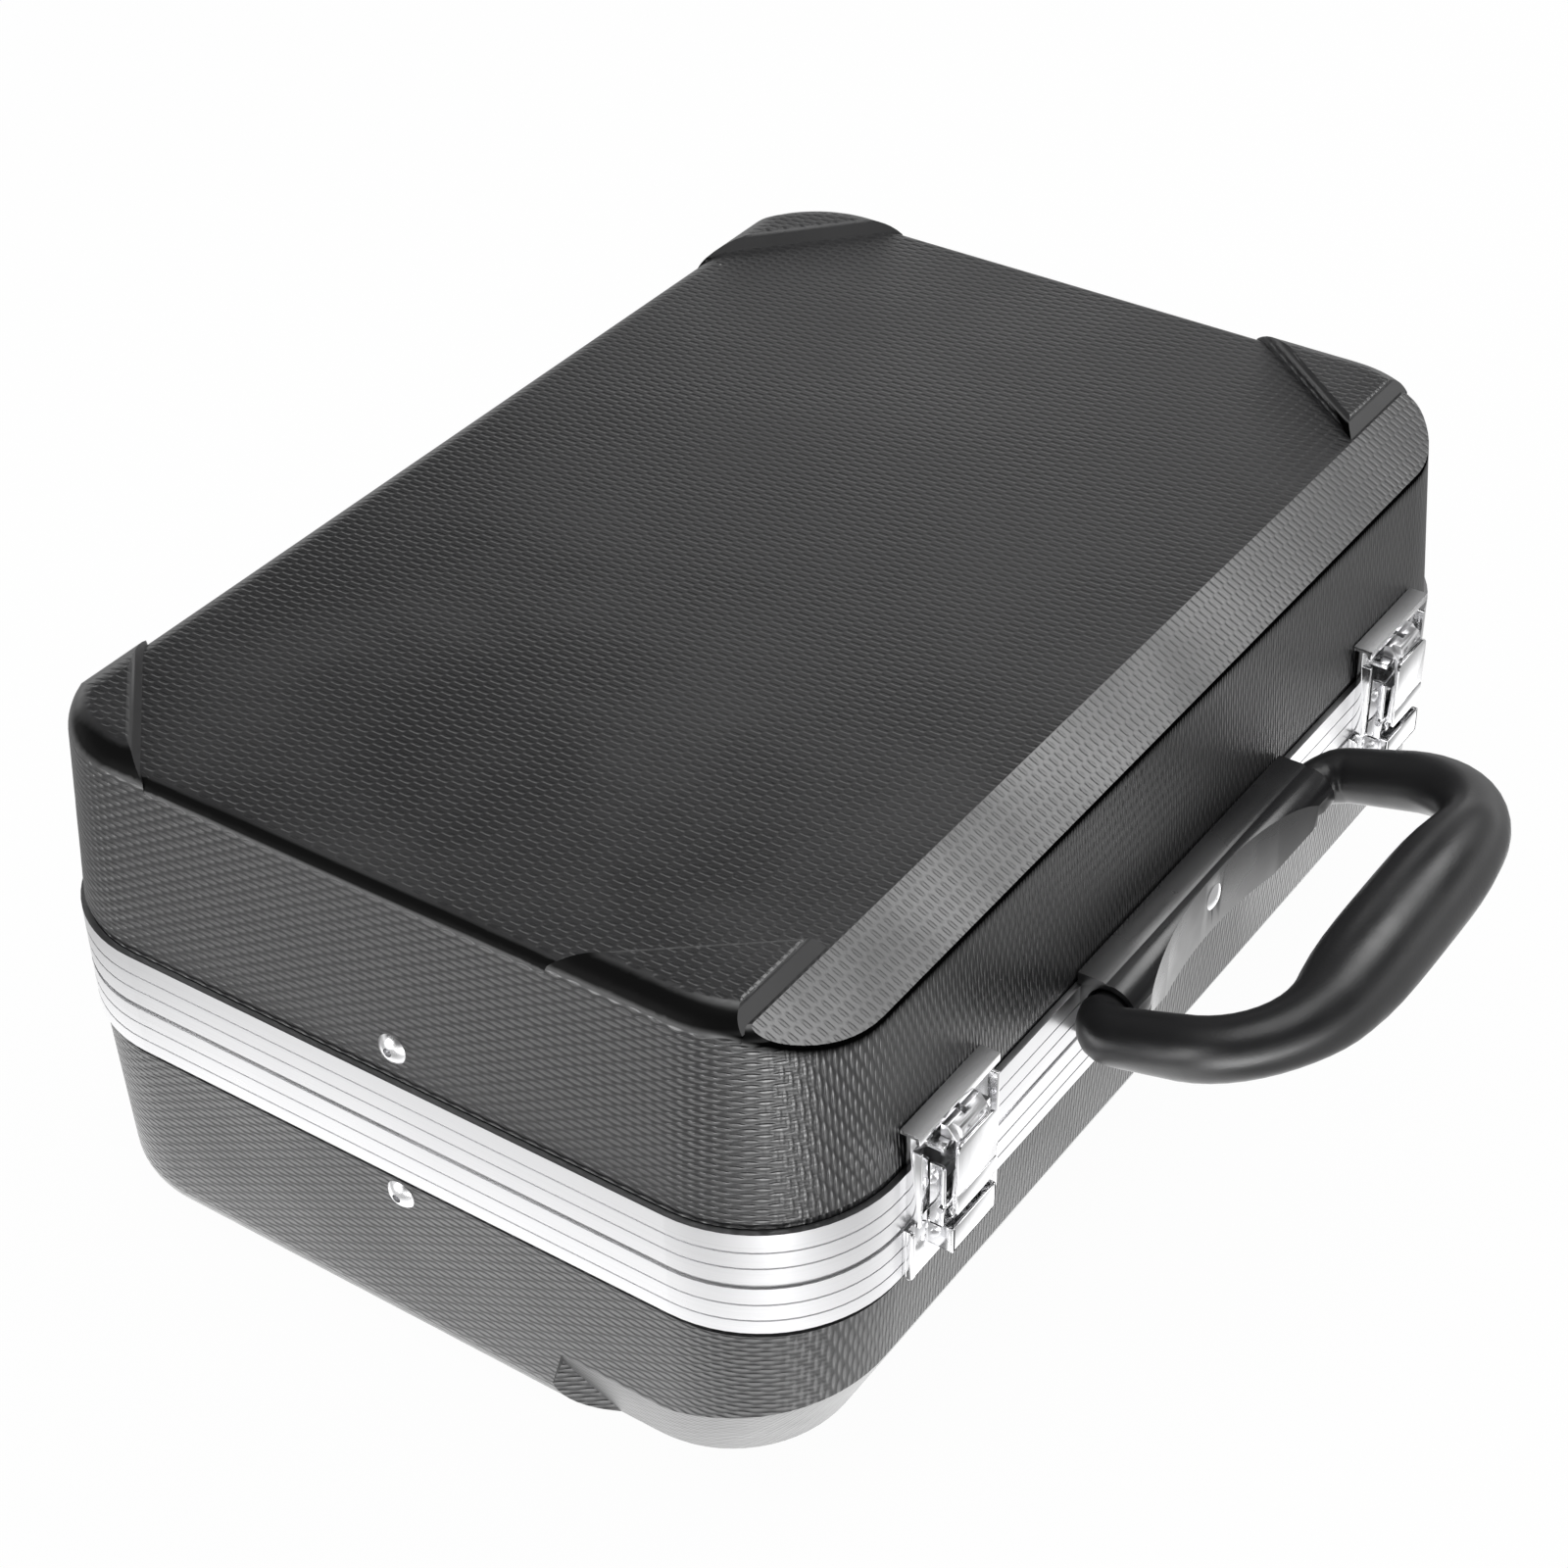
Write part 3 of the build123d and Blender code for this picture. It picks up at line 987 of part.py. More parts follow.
def build():
    """All pieces by node name; identical fasteners share a node."""
    sides = (("left", -1), ("right", 1))

    hinge_rivets = {}
    latch_rivets = {}
    for name, side in (("base", -1), ("lid", 1)):
        z = hinge_rivet_z(side)
        hinge_rivets[name] = [rivet for s in (-1, 1) for rivet in
                              rivet_pair(s * HINGE_X, HINGE_RIVET_SPACING / 2, BACK + HINGE_LEAF, z, 1,
                                         HINGE_LEAF + through_leg(z))]
        z = PARTING + CATCH_RIVET_UP if side > 0 else PARTING - PLATE_RIVET_DOWN
        latch_rivets[name] = [rivet for s in (-1, 1) for rivet in
                              rivet_pair(s * LATCH_X, LATCH_RIVET_SIDE, FRONT - LATCH_SHEET, z, -1,
                                         LATCH_SHEET + through_leg(z))]
    handle_rivet = make_handle_rivet()
    stay_rivets = {up: make_stay_rivet(up) for up in (True, False)}

    base_rivets = hinge_rivets["base"] + latch_rivets["base"]
    lid_rivets = hinge_rivets["lid"] + latch_rivets["lid"] + [handle_rivet]
    parts = {
        "base_shell": drill(make_base_shell(), base_rivets + [stay_hole(False)]),
        "base_valance": drill(make_base_valance(), base_rivets),
        "base_insert": make_base_insert(),
        "lid_shell": drill(make_lid_shell(), lid_rivets + [stay_hole(True)]),
        "lid_valance": drill(make_lid_valance(), lid_rivets),
        "lid_lining": make_lid_lining(),
        "lid_cushion": make_lid_cushion(),
        "hinge_rivets_base": Compound(children=hinge_rivets["base"]),
        "hinge_rivets_lid": Compound(children=hinge_rivets["lid"]),
        "latch_rivets_base": Compound(children=latch_rivets["base"]),
        "latch_rivets_lid": Compound(children=latch_rivets["lid"]),
        "handle_bracket": make_handle_bracket(),
        "handle_grip": make_handle_grip(),
        "handle_rivet": handle_rivet,
        "handle_backing_plate": drill(make_backing_plate(), [handle_rivet]),
        "stay_strap": make_stay_strap(),
        "stay_rivet_lid": stay_rivets[True],
        "stay_rivet_base": stay_rivets[False],
        "stay_spacer_lid": make_stay_spacer(True),
        "stay_spacer_base": make_stay_spacer(False),
        "stay_washer_lid": make_stay_washer(True),
        "stay_washer_base": make_stay_washer(False),
    }
    for name, s in sides:
        parts[f"hinge_leaf_base_{name}"] = make_hinge_leaf(s * HINGE_X, -1)
        parts[f"hinge_leaf_lid_{name}"] = make_hinge_leaf(s * HINGE_X, 1)
        parts[f"hinge_pin_{name}"] = make_hinge_pin(s * HINGE_X)
        parts[f"latch_catch_{name}"] = make_catch_plate(s * LATCH_X)
        parts[f"latch_base_plate_{name}"] = make_base_plate(s * LATCH_X)
        parts[f"latch_lever_{name}"] = make_lever(s * LATCH_X)
        parts[f"latch_lever_pins_{name}"] = Compound(children=make_lever_pins(s * LATCH_X))
        parts[f"latch_hook_{name}"] = make_hook(s * LATCH_X)
        parts[f"latch_hook_pin_{name}"] = make_hook_pin(s * LATCH_X)
        parts[f"handle_pin_{name}"] = make_handle_pin(s)
    return parts


def main():
    os.makedirs("parts", exist_ok=True)
    for name, shape in build().items():
        export_step(shape, os.path.join("parts", f"{name}.step"))
    y, z = handle_pivot()
    print("hinge axis", 0.0, HINGE_Y, PARTING)
    print("handle pivot", y, z)
    print("lever pivot", lever_pivot(), "hook pivot", hook_pivot())


main()
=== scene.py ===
import json
import logging
import math
from dataclasses import dataclass
from enum import Enum
from typing import Callable, Iterable

import bpy
from mathutils import Matrix, Vector

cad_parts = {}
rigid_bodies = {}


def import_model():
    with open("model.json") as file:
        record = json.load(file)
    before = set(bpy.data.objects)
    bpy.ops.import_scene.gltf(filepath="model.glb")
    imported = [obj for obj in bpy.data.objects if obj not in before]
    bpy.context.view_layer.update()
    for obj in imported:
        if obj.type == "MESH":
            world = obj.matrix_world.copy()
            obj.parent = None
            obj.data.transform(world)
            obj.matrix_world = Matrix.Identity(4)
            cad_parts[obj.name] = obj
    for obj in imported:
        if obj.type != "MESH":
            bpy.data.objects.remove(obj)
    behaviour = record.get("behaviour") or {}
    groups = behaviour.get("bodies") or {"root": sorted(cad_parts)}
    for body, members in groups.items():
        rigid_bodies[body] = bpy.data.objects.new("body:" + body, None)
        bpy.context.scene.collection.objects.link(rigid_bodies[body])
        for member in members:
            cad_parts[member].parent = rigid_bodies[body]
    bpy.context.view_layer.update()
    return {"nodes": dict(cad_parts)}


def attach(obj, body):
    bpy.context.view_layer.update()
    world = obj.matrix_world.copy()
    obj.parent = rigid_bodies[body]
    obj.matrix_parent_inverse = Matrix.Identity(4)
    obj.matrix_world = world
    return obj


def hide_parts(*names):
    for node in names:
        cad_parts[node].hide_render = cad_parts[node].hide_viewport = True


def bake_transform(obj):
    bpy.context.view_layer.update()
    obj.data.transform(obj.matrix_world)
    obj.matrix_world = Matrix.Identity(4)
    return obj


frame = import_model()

log = logging.getLogger("trumpet case")

Point = tuple[float, float, float]
Colour = tuple[float, float, float]


class Body(str, Enum):
    """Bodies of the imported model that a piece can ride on."""

    BASE = "base"
    LID = "lid"
    HANDLE = "handle"


class Side(Enum):
    """The two ends of the case: left has the stay, and is at the front in the usual view."""

    LEFT = ("left", -1.0)
    RIGHT = ("right", 1.0)

    @property
    def word(self) -> str:
        """The name that the nodes of this end carry."""
        return self.value[0]

    @property
    def sign(self) -> float:
        """-1 at the left end and 1 at the right end."""
        return self.value[1]


def mm(value: float) -> float:
    """Millimetres as metres."""
    return value * 0.001


# Modelling steps that the pieces share

MERGE = 2e-6           # distance under which corners of a CAD mesh are the same
FLAT_DEGREES = 0.6     # faces flatter to each other than this are one face
NEAR = 0.1             # millimetres from a face within which a corner counts as on it


def take(piece: bpy.types.Object) -> bpy.types.Object:
    """Make this piece the only selected and active object.

    Args:
        piece: The object to work on.

    Returns:
        The same object.
    """
    for other in bpy.context.view_layer.objects:
        other.select_set(False)
    piece.select_set(True)
    bpy.context.view_layer.objects.active = piece
    return piece


def edit(piece: bpy.types.Object, *steps: Callable[[], object]) -> bpy.types.Object:
    """Run steps on the whole mesh in edit mode.

    Args:
        piece: The mesh to work on.
        steps: Calls made in edit mode, with everything selected before the first.

    Returns:
        The same object, back in object mode.
    """
    take(piece)
    bpy.ops.object.mode_set(mode="EDIT")
    bpy.ops.mesh.select_all(action="SELECT")
    for step in steps:
        step()
    bpy.ops.object.mode_set(mode="OBJECT")
    return piece


def modify(piece: bpy.types.Object, kind: str, **settings: object) -> bpy.types.Object:
    """Add a modifier with these settings and apply it.

    Args:
        piece: The mesh to change.
        kind: The modifier's type.
        settings: Its properties.

    Returns:
        The same object.
    """
    take(piece)
    modifier = piece.modifiers.new(kind.title(), kind)
    for key, value in settings.items():
        setattr(modifier, key, value)
    bpy.ops.object.modifier_apply(modifier=modifier.name)
    return piece


def smooth(piece: bpy.types.Object, degrees: float = 35.0) -> bpy.types.Object:
    """Shade smooth, with edges sharper than this left sharp."""
    take(piece)
    bpy.ops.object.shade_smooth_by_angle(angle=math.radians(degrees))
    return piece


def soften(piece: bpy.types.Object, width: float, segments: int = 2, degrees: float = 30.0
           ) -> bpy.types.Object:
    """Round the edges of a piece.

    Args:
        piece: The mesh to change.
        width: Width of the round, in metres.
        segments: Faces across it.
        degrees: Only edges sharper than this are rounded.

    Returns:
        The same object.
    """
    modify(piece, "BEVEL", width=width, segments=segments, limit_method="ANGLE",
           angle_limit=math.radians(degrees), miter_outer="MITER_ARC")
    return smooth(piece)


def copy_of(node: str, name: str) -> bpy.types.Object:
    """Closed copy of a CAD node, its triangles joined and its flat faces whole.

    Args:
        node: The node to copy.
        name: Name of the new piece.

    Returns:
        The new object, which nothing carries yet.
    """
    piece = bpy.data.objects.new(name, frame["nodes"][node].data.copy())
    bpy.context.scene.collection.objects.link(piece)
    piece.data.materials.clear()
    take(piece)
    bpy.ops.mesh.customdata_custom_splitnormals_clear()
    edit(piece,
         lambda: bpy.ops.mesh.remove_doubles(threshold=MERGE),
         lambda: bpy.ops.mesh.dissolve_limited(angle_limit=math.radians(FLAT_DEGREES)),
         lambda: bpy.ops.mesh.normals_make_consistent(inside=False))
    return piece


def block(name: str, low: Point, high: Point) -> bpy.types.Object:
    """A box between two corners, given in millimetres.

    Args:
        name: Name of the new piece.
        low: Its lower corner.
        high: Its upper corner.

    Returns:
        The new object.
    """
    middle = [mm((a + b) / 2) for a, b in zip(low, high)]
    bpy.ops.mesh.primitive_cube_add(size=1.0, location=middle)
    piece = bpy.context.object
    piece.name = name
    piece.scale = [mm(b - a) for a, b in zip(low, high)]
    bpy.ops.object.transform_apply(location=True, rotation=True, scale=True)
    return piece


def cut(piece: bpy.types.Object, tool: bpy.types.Object) -> bpy.types.Object:
    """Cut a piece with a tool body, and delete the tool.

    Args:
        piece: The mesh to change.
        tool: The other mesh.

    Returns:
        The changed piece.
    """
    modify(piece, "BOOLEAN", operation="DIFFERENCE", object=tool, solver="EXACT")
    bpy.data.objects.remove(tool, do_unlink=True)
    return piece


def joined(piece: bpy.types.Object, *others: bpy.types.Object) -> bpy.types.Object:
    """Make closed bodies one piece.

    Args:
        piece: The mesh that stays.
        others: Meshes that become part of it.

    Returns:
        The same object.
    """
    take(piece)
    for other in others:
        other.select_set(True)
    bpy.ops.object.join()
    return piece


def round_edges(piece: bpy.types.Object, width: float, chosen: Callable[[Vector, Vector], bool],
                segments: int = 5) -> bpy.types.Object:
    """Round some edges of a piece.

    Args:
        piece: The mesh to change.
        width: Width of the round, in metres.
        chosen: Tells from an edge's two ends if it is rounded.
        segments: Faces across the round.

    Returns:
        The same object.
    """
    take(piece)
    bpy.ops.object.mode_set(mode="EDIT")
    bpy.ops.mesh.select_mode(type="EDGE")
    bpy.ops.mesh.select_all(action="DESELECT")
    bpy.ops.object.mode_set(mode="OBJECT")
    points = piece.data.vertices
    for edge in piece.data.edges:
        edge.select = chosen(points[edge.vertices[0]].co, points[edge.vertices[1]].co)
    bpy.ops.object.mode_set(mode="EDIT")
    bpy.ops.mesh.bevel(offset=width, segments=segments)
    bpy.ops.object.mode_set(mode="OBJECT")
    return piece


# Shader nodes


class Graph:
    """One material's nodes, with short calls for the kinds that the finishes use."""

    def __init__(self, name: str) -> None:
        """Start a material with its shader."""
        self.material = bpy.data.materials.new(name)
        self.material.use_nodes = True
        self.tree = self.material.node_tree
        self.shader = self.tree.nodes["Principled BSDF"]
        self.coordinates = self.tree.nodes.new("ShaderNodeTexCoord")

    @property
    def place(self) -> bpy.types.NodeSocket:
        """Object coordinates, in metres."""
        return self.coordinates.outputs["Object"]

    def feed(self, socket: bpy.types.NodeSocket, value: object) -> None:
        """Link a socket, or set a constant on it."""
        if isinstance(value, bpy.types.NodeSocket):
            self.tree.links.new(value, socket)
        else:
            socket.default_value = value

    def maths(self, operation: str, *values: object) -> bpy.types.NodeSocket:
        """One Math node.

        Args:
            operation: Its operation.
            values: Numbers or sockets for its inputs.

        Returns:
            Its value.
        """
        node = self.tree.nodes.new("ShaderNodeMath")
        node.operation = operation
        for socket, value in zip(node.inputs, values):
            self.feed(socket, value)
        return node.outputs[0]

    def times(self, first: object, second: object) -> bpy.types.NodeSocket:
        """Product of two values."""
        return self.maths("MULTIPLY", first, second)

    def plus(self, first: object, second: object) -> bpy.types.NodeSocket:
        """Sum of two values."""
        return self.maths("ADD", first, second)

    def split(self, vector: bpy.types.NodeSocket) -> tuple[bpy.types.NodeSocket, ...]:
        """The three parts of a vector."""
        node = self.tree.nodes.new("ShaderNodeSeparateXYZ")
        self.tree.links.new(vector, node.inputs[0])
        return tuple(node.outputs)

    def stretch(self, vector: bpy.types.NodeSocket, scale: Point) -> bpy.types.NodeSocket:
        """A vector scaled along each axis."""
        node = self.tree.nodes.new("ShaderNodeMapping")
        self.tree.links.new(vector, node.inputs["Vector"])
        node.inputs["Scale"].default_value = scale
        return node.outputs[0]

    def noise(self, scale: float, detail: float = 2.0, vector: bpy.types.NodeSocket | None = None
              ) -> bpy.types.NodeSocket:
        """Noise about 0.5.

        Args:
            scale: Features per metre.
            detail: Octaves.
            vector: Coordinates, the object's own if left out.

        Returns:
            The noise value.
        """
        node = self.tree.nodes.new("ShaderNodeTexNoise")
        self.tree.links.new(vector or self.place, node.inputs["Vector"])
        node.inputs["Scale"].default_value = scale
        node.inputs["Detail"].default_value = detail
        return node.outputs[0]

    def remap(self, value: bpy.types.NodeSocket, low: float, high: float, to_low: float, to_high: float
              ) -> bpy.types.NodeSocket:
        """Map a value from one range to another with a smooth step.

        Args:
            value: The value.
            low: Start of its range.
            high: End of its range.
            to_low: Result at the start.
            to_high: Result at the end.

        Returns:
            The mapped value.
        """
        node = self.tree.nodes.new("ShaderNodeMapRange")
        node.interpolation_type = "SMOOTHSTEP"
        for socket, item in zip(node.inputs, (value, low, high, to_low, to_high)):
            self.feed(socket, item)
        return node.outputs[0]

    def mix(self, share: object, first: object, second: object, colour: bool = False) -> bpy.types.NodeSocket:
        """Mix two values or two colours.

        Args:
            share: How much of the second.
            first: Value, colour or socket.
            second: Value, colour or socket.
            colour: True for colours.

        Returns:
            The mixed result.
        """
        node = self.tree.nodes.new("ShaderNodeMix")
        node.data_type = "RGBA" if colour else "FLOAT"
        sockets = [s for s in node.inputs if s.enabled]
        result = next(s for s in node.outputs if s.enabled)
        for socket, value in zip(sockets, (share, first, second)):
            if colour and isinstance(value, tuple):
                value = (*value, 1.0)
            self.feed(socket, value)
        return result

    def specks(self, scale: float, radius: float, share: float) -> bpy.types.NodeSocket:
        """Small sparse spots, 1 inside and 0 outside.

        Args:
            scale: Cells per metre.
            radius: Radius of a spot, as a share of a cell.
            share: Share of the cells that have one.

        Returns:
            The mask.
        """
        node = self.tree.nodes.new("ShaderNodeTexVoronoi")
        self.tree.links.new(self.place, node.inputs["Vector"])
        node.inputs["Scale"].default_value = scale
        chosen = self.maths("LESS_THAN", self.split(node.outputs["Color"])[0], share)
        spot = self.remap(node.outputs["Distance"], radius * 0.5, radius, 1.0, 0.0)
        return self.times(chosen, spot)

    def bump(self, height: bpy.types.NodeSocket, depth: float) -> None:
        """Relief of this depth in metres on the shader, over any relief made before."""
        node = self.tree.nodes.new("ShaderNodeBump")
        node.inputs["Strength"].default_value = 1.0
        node.inputs["Distance"].default_value = depth
        self.tree.links.new(height, node.inputs["Height"])
        before = self.shader.inputs["Normal"]
        if before.is_linked:
            self.tree.links.new(before.links[0].from_socket, node.inputs["Normal"])
        self.tree.links.new(node.outputs[0], before)

    def surface(self, **values: object) -> bpy.types.Material:
        """Set the shader's sockets by name, with underscores for spaces.

        Args:
            values: Numbers, colours or sockets.

        Returns:
            The finished material.
        """
        for key, value in values.items():
            if isinstance(value, tuple) and len(value) == 3:
                value = (*value, 1.0)
            self.feed(self.shader.inputs[key.replace("_", " ")], value)
        return self.material


@dataclass(frozen=True)
class Finish:
    """A named finish. Each kind makes its own material."""

    slot: str
    colour: Colour
    roughness: float

    def material(self) -> bpy.types.Material:
        """The finish's material, made once."""
        name = f"finish_{self.slot}_{self.roughness:.2f}"
        return bpy.data.materials.get(name) or self.make(Graph(name))

    def make(self, graph: Graph) -> bpy.types.Material:
        """Build the nodes."""
        raise NotImplementedError

    def tint(self, graph: Graph, share: object, factor: float) -> bpy.types.NodeSocket:
        """The colour, mixed with a multiple of itself by share."""
        other = tuple(min(1.0, c * factor) for c in self.colour)
        return graph.mix(share, self.colour, other, colour=True)


@dataclass(frozen=True)
class Emboss:
    """Pitches of one direction of the emboss, and how they lie."""

    along: float
    across: float


@dataclass(frozen=True)
class EmbossedSheet(Finish):
    """Moulded black sheet, embossed in staggered rows: sunk dashes on top, raised lenses on the walls.

    They run along Y on the panel, down the bevel and the long walls, and along Y on the end walls. Fields:
        panel, wall: Pitches of the two patterns.
        depth, calm: Full depth, and its share on the long walls, on the bevel and on the panel.
        shade, level: Gloss in the hollows, and where there is no emboss.
        groove, rim, floor: Weight of the grooves between rows; where a dash begins and where it is deepest.
        bend, climb, wander: Height above which the rows lie flat, their lean, and how far they stray.
        end: X between which the painted shade on the left end's rounds fades out.
        crease, tilt: A point (y, z) of the lid's bevel and its normal, for the painted shade line under it.
    """

    panel: Emboss = Emboss(mm(7.2), mm(1.27))
    wall: Emboss = Emboss(mm(5.4), mm(1.5))
    depth: float = mm(0.42)
    shade: float = 0.4
    groove: float = 0.7
    rim: float = -0.15
    floor: float = 0.75
    calm: Point = (0.66, 0.17, 0.33)
    level: float = 0.76
    index: float = 1.72
    bend: float = mm(139.5)
    climb: float = 0.3
    end: tuple[float, float] = (mm(-150.0), mm(-135.0))
    crease: tuple[float, float] = (mm(-115.8), mm(139.5))
    tilt: tuple[float, float] = (0.418, 0.908)
    wander: float = mm(1.6)

    def lenses(self, graph: Graph, emboss: Emboss, s: bpy.types.NodeSocket, t: bpy.types.NodeSocket,
               lined: bool) -> bpy.types.NodeSocket:
        """Height of the emboss, from 0 to 1.

        Args:
            graph: The material's nodes.
            emboss: The pitches.
            s: Distance along the lenses.
            t: Distance across them.
            lined: True for raised lenses with grooves between their rows, False for sunk dashes.

        Returns:
            The height.
        """
        rows = graph.maths("COSINE", graph.times(t, math.pi / emboss.across))
        runs = graph.maths("COSINE", graph.times(s, 2 * math.pi / emboss.along))
        height = graph.times(rows, runs)
        if not lined:
            return graph.remap(height, self.rim, self.floor, 1.0, 0.0)
        grooves = graph.times(graph.times(rows, rows), 2.0 * self.groove)
        return graph.remap(graph.plus(height, grooves), -0.1, 2.0 * self.groove + 0.7, 0.0, 1.0)

    def make(self, graph: Graph) -> bpy.types.Material:
        """Emboss, soft unevenness of the sheet, worn gloss, dust, and painted shade on the left end's rounds
        and along a line under the lid's bevel.
        """
        x, y, z = graph.split(graph.place)
        across, ahead, up = graph.split(graph.coordinates.outputs["Normal"])
        facing = graph.maths("ABSOLUTE", across)
        side = graph.remap(facing, 0.45, 0.9, 0.0, 1.0)
        wander = graph.times(graph.noise(26.0, 1.0), self.wander)
        low = graph.times(graph.maths("MINIMUM", z, self.bend), 1.0 - self.climb)
        down = graph.plus(graph.plus(y, graph.times(z, self.climb)), low)
        down = graph.plus(down, wander)
        flat = graph.remap(up, 0.8, 0.88, 0.0, 1.0)
        relief = graph.mix(flat, self.lenses(graph, self.panel, down, x, True),
                           self.lenses(graph, self.panel, down, x, False))
        relief = graph.mix(side, relief, self.lenses(graph, self.wall, y, z, True))
        edge = graph.remap(graph.times(facing, up), 0.1, 0.28, 1.0, 0.0)
        slope = graph.times(graph.maths("ABSOLUTE", ahead), up)
        plain = graph.times(edge, graph.remap(slope, 0.4, 0.46, 1.0, 0.0))
        under = graph.remap(up, -0.3, -0.15, 0.25, 1.0)
        upward = graph.plus(graph.remap(up, 0.5, 0.85, self.calm[0], self.calm[1]),
                             graph.remap(up, 0.93, 0.98, 0.0, self.calm[2] - self.calm[1]))
        strong = graph.times(graph.mix(graph.remap(facing, 0.1, 0.5, 0.0, 1.0), upward, 1.0),
                             graph.times(plain, under))
        graph.bump(graph.noise(9.0, 2.0), mm(1.1))
        graph.bump(graph.times(relief, strong), self.depth)
        dust = graph.specks(52.0, 0.024, 0.14)
        worn = graph.noise(22.0, 4.0)
        colour = graph.mix(dust, self.tint(graph, graph.remap(worn, 0.35, 0.75, 0.0, 1.0), 1.3),
                           (0.35, 0.35, 0.34), colour=True)
        rough = graph.remap(worn, 0.3, 0.8, self.roughness - 0.05, self.roughness + 0.09)
        cavity = graph.mix(strong, self.level, graph.remap(relief, 0.0, 0.9, self.shade, 1.0))
        # Painted shade: the sloping rounds at the left end are painted near black with almost no gloss,
        # standing in for the dark band there.
        painted_shade_round = graph.remap(graph.times(facing, up), 0.24, 0.42, 0.0, 1.0)
        painted_shade_round = graph.times(painted_shade_round, graph.remap(x, self.end[0], self.end[1], 1.0, 0.0))
        cavity = graph.mix(painted_shade_round, cavity, 0.02)
        colour = graph.mix(painted_shade_round, colour, (0.006, 0.006, 0.006), colour=True)
        # Painted shade: a narrow band under the lid's bevel, on faces that don't look up, is painted near
        # black with no gloss.
        rise = graph.times(graph.maths("SUBTRACT", z, self.crease[1]), self.tilt[1])
        run = graph.times(graph.maths("SUBTRACT", y, self.crease[0]), -self.tilt[0])
        near = graph.remap(graph.maths("ABSOLUTE", graph.plus(rise, run)), mm(1.2), mm(4.0), 1.0, 0.0)
        fold = graph.times(near, graph.remap(up, 0.35, 0.6, 1.0, 0.0))
        cavity = graph.mix(fold, cavity, 0.0)
        colour = graph.mix(fold, colour, (0.002, 0.002, 0.002), colour=True)
        return graph.surface(Base_Color=colour, Roughness=rough, Specular_IOR_Level=cavity, IOR=self.index)


@dataclass(frozen=True)
class DrawnAluminium(Finish):
    """Satin anodised extrusion, with the fine lines of its die along it."""

    def make(self, graph: Graph) -> bpy.types.Material:
        """Lines along the band and a cloudy gloss."""
        lines = graph.noise(1.0, 3.0, graph.stretch(graph.place, (5.0, 5.0, 3600.0)))
        cloud = graph.noise(24.0, 3.0)
        graph.bump(lines, mm(0.008))
        colour = self.tint(graph, graph.remap(lines, 0.4, 0.9, 0.0, 1.0), 0.93)
        rough = graph.remap(cloud, 0.3, 0.7, self.roughness - 0.04, self.roughness + 0.05)
        return graph.surface(Base_Color=colour, Roughness=rough, Metallic=1.0)


@dataclass(frozen=True)
class Plated(Finish):
    """Plated or polished metal: slightly uneven under its gloss, with faint rubbing marks."""

    ripple: float = mm(0.05)
    marks: float = 0.08
    satin_above: float = 1.0

    def make(self, graph: Graph) -> bpy.types.Material:
        """Shallow ripple of the pressed sheet and streaks of wear."""
        graph.bump(graph.noise(130.0, 1.0), self.ripple)
        streaks = graph.noise(1.0, 4.0, graph.stretch(graph.place, (420.0, 420.0, 60.0)))
        rough = graph.remap(streaks, 0.42, 0.8, self.roughness, self.roughness + self.marks)
        height = graph.split(graph.place)[2]
        satin = graph.maths("GREATER_THAN", height, self.satin_above)
        rough = graph.mix(satin, rough, 0.5)
        graph.bump(graph.times(graph.noise(1500.0, 2.0), satin), mm(0.06))
        colour = self.tint(graph, graph.remap(streaks, 0.5, 0.9, 0.0, 1.0), 0.86)
        colour = graph.mix(graph.times(satin, 0.5), colour, (0.1, 0.1, 0.1), colour=True)
        return graph.surface(Base_Color=colour, Roughness=rough, Metallic=1.0)


@dataclass(frozen=True)
class Moulding(Finish):
    """Black moulded plastic with a fine grain."""

    grain: float = 1600.0
    depth: float = mm(0.03)

    def make(self, graph: Graph) -> bpy.types.Material:
        """Grain, softer sheen where hands rub, and a few dust marks."""
        graph.bump(graph.noise(self.grain, 2.0), self.depth)
        rub = graph.noise(45.0, 3.0)
        dust = graph.specks(150.0, 0.03, 0.05)
        colour = graph.mix(dust, self.tint(graph, rub, 1.4), (0.2, 0.2, 0.2), colour=True)
        rough = graph.remap(rub, 0.3, 0.7, self.roughness - 0.06, self.roughness + 0.06)
        return graph.surface(Base_Color=colour, Roughness=rough, Specular_IOR_Level=0.9)


@dataclass(frozen=True)
class Pile(Finish):
    """Plush or flock: short fibres with patches brushed either way."""

    fibre: float = 1500.0
    depth: float = mm(0.5)

    def make(self, graph: Graph) -> bpy.types.Material:
        """Fibres, brushed patches and a soft sheen at grazing angles."""
        fibres = graph.noise(self.fibre, 3.0)
        brushed = graph.noise(28.0, 2.0)
        graph.bump(fibres, self.depth)
        shade = graph.times(graph.remap(brushed, 0.35, 0.65, 0.2, 1.0),
                            graph.remap(fibres, 0.3, 0.7, 0.2, 1.0))
        return graph.surface(Base_Color=self.tint(graph, shade, 2.0), Roughness=0.95, Sheen_Weight=0.5,
                             Sheen_Roughness=0.4)


@dataclass(frozen=True)
class Webbing(Finish):
    """Woven strap, its ribs following the piece's own UV map in millimetres."""

    def make(self, graph: Graph) -> bpy.types.Material:
        """Ribs across and chevrons along the strap."""
        u, v, _ = graph.split(graph.coordinates.outputs["UV"])
        slant = graph.maths("PINGPONG", u, 2.0)
        ribs = graph.maths("SINE", graph.times(graph.plus(v, slant), 2 * math.pi / 1.1))
        cords = graph.maths("SINE", graph.times(u, 2 * math.pi / 0.9))
        weave = graph.plus(ribs, graph.times(cords, 0.4))
        graph.bump(weave, mm(0.12))
        fuzz = graph.noise(2600.0, 2.0)
        colour = self.tint(graph, graph.times(graph.remap(weave, -1.0, 1.0, 0.0, 1.0), fuzz), 3.0)
        return graph.surface(Base_Color=colour, Roughness=self.roughness, Sheen_Weight=0.25)


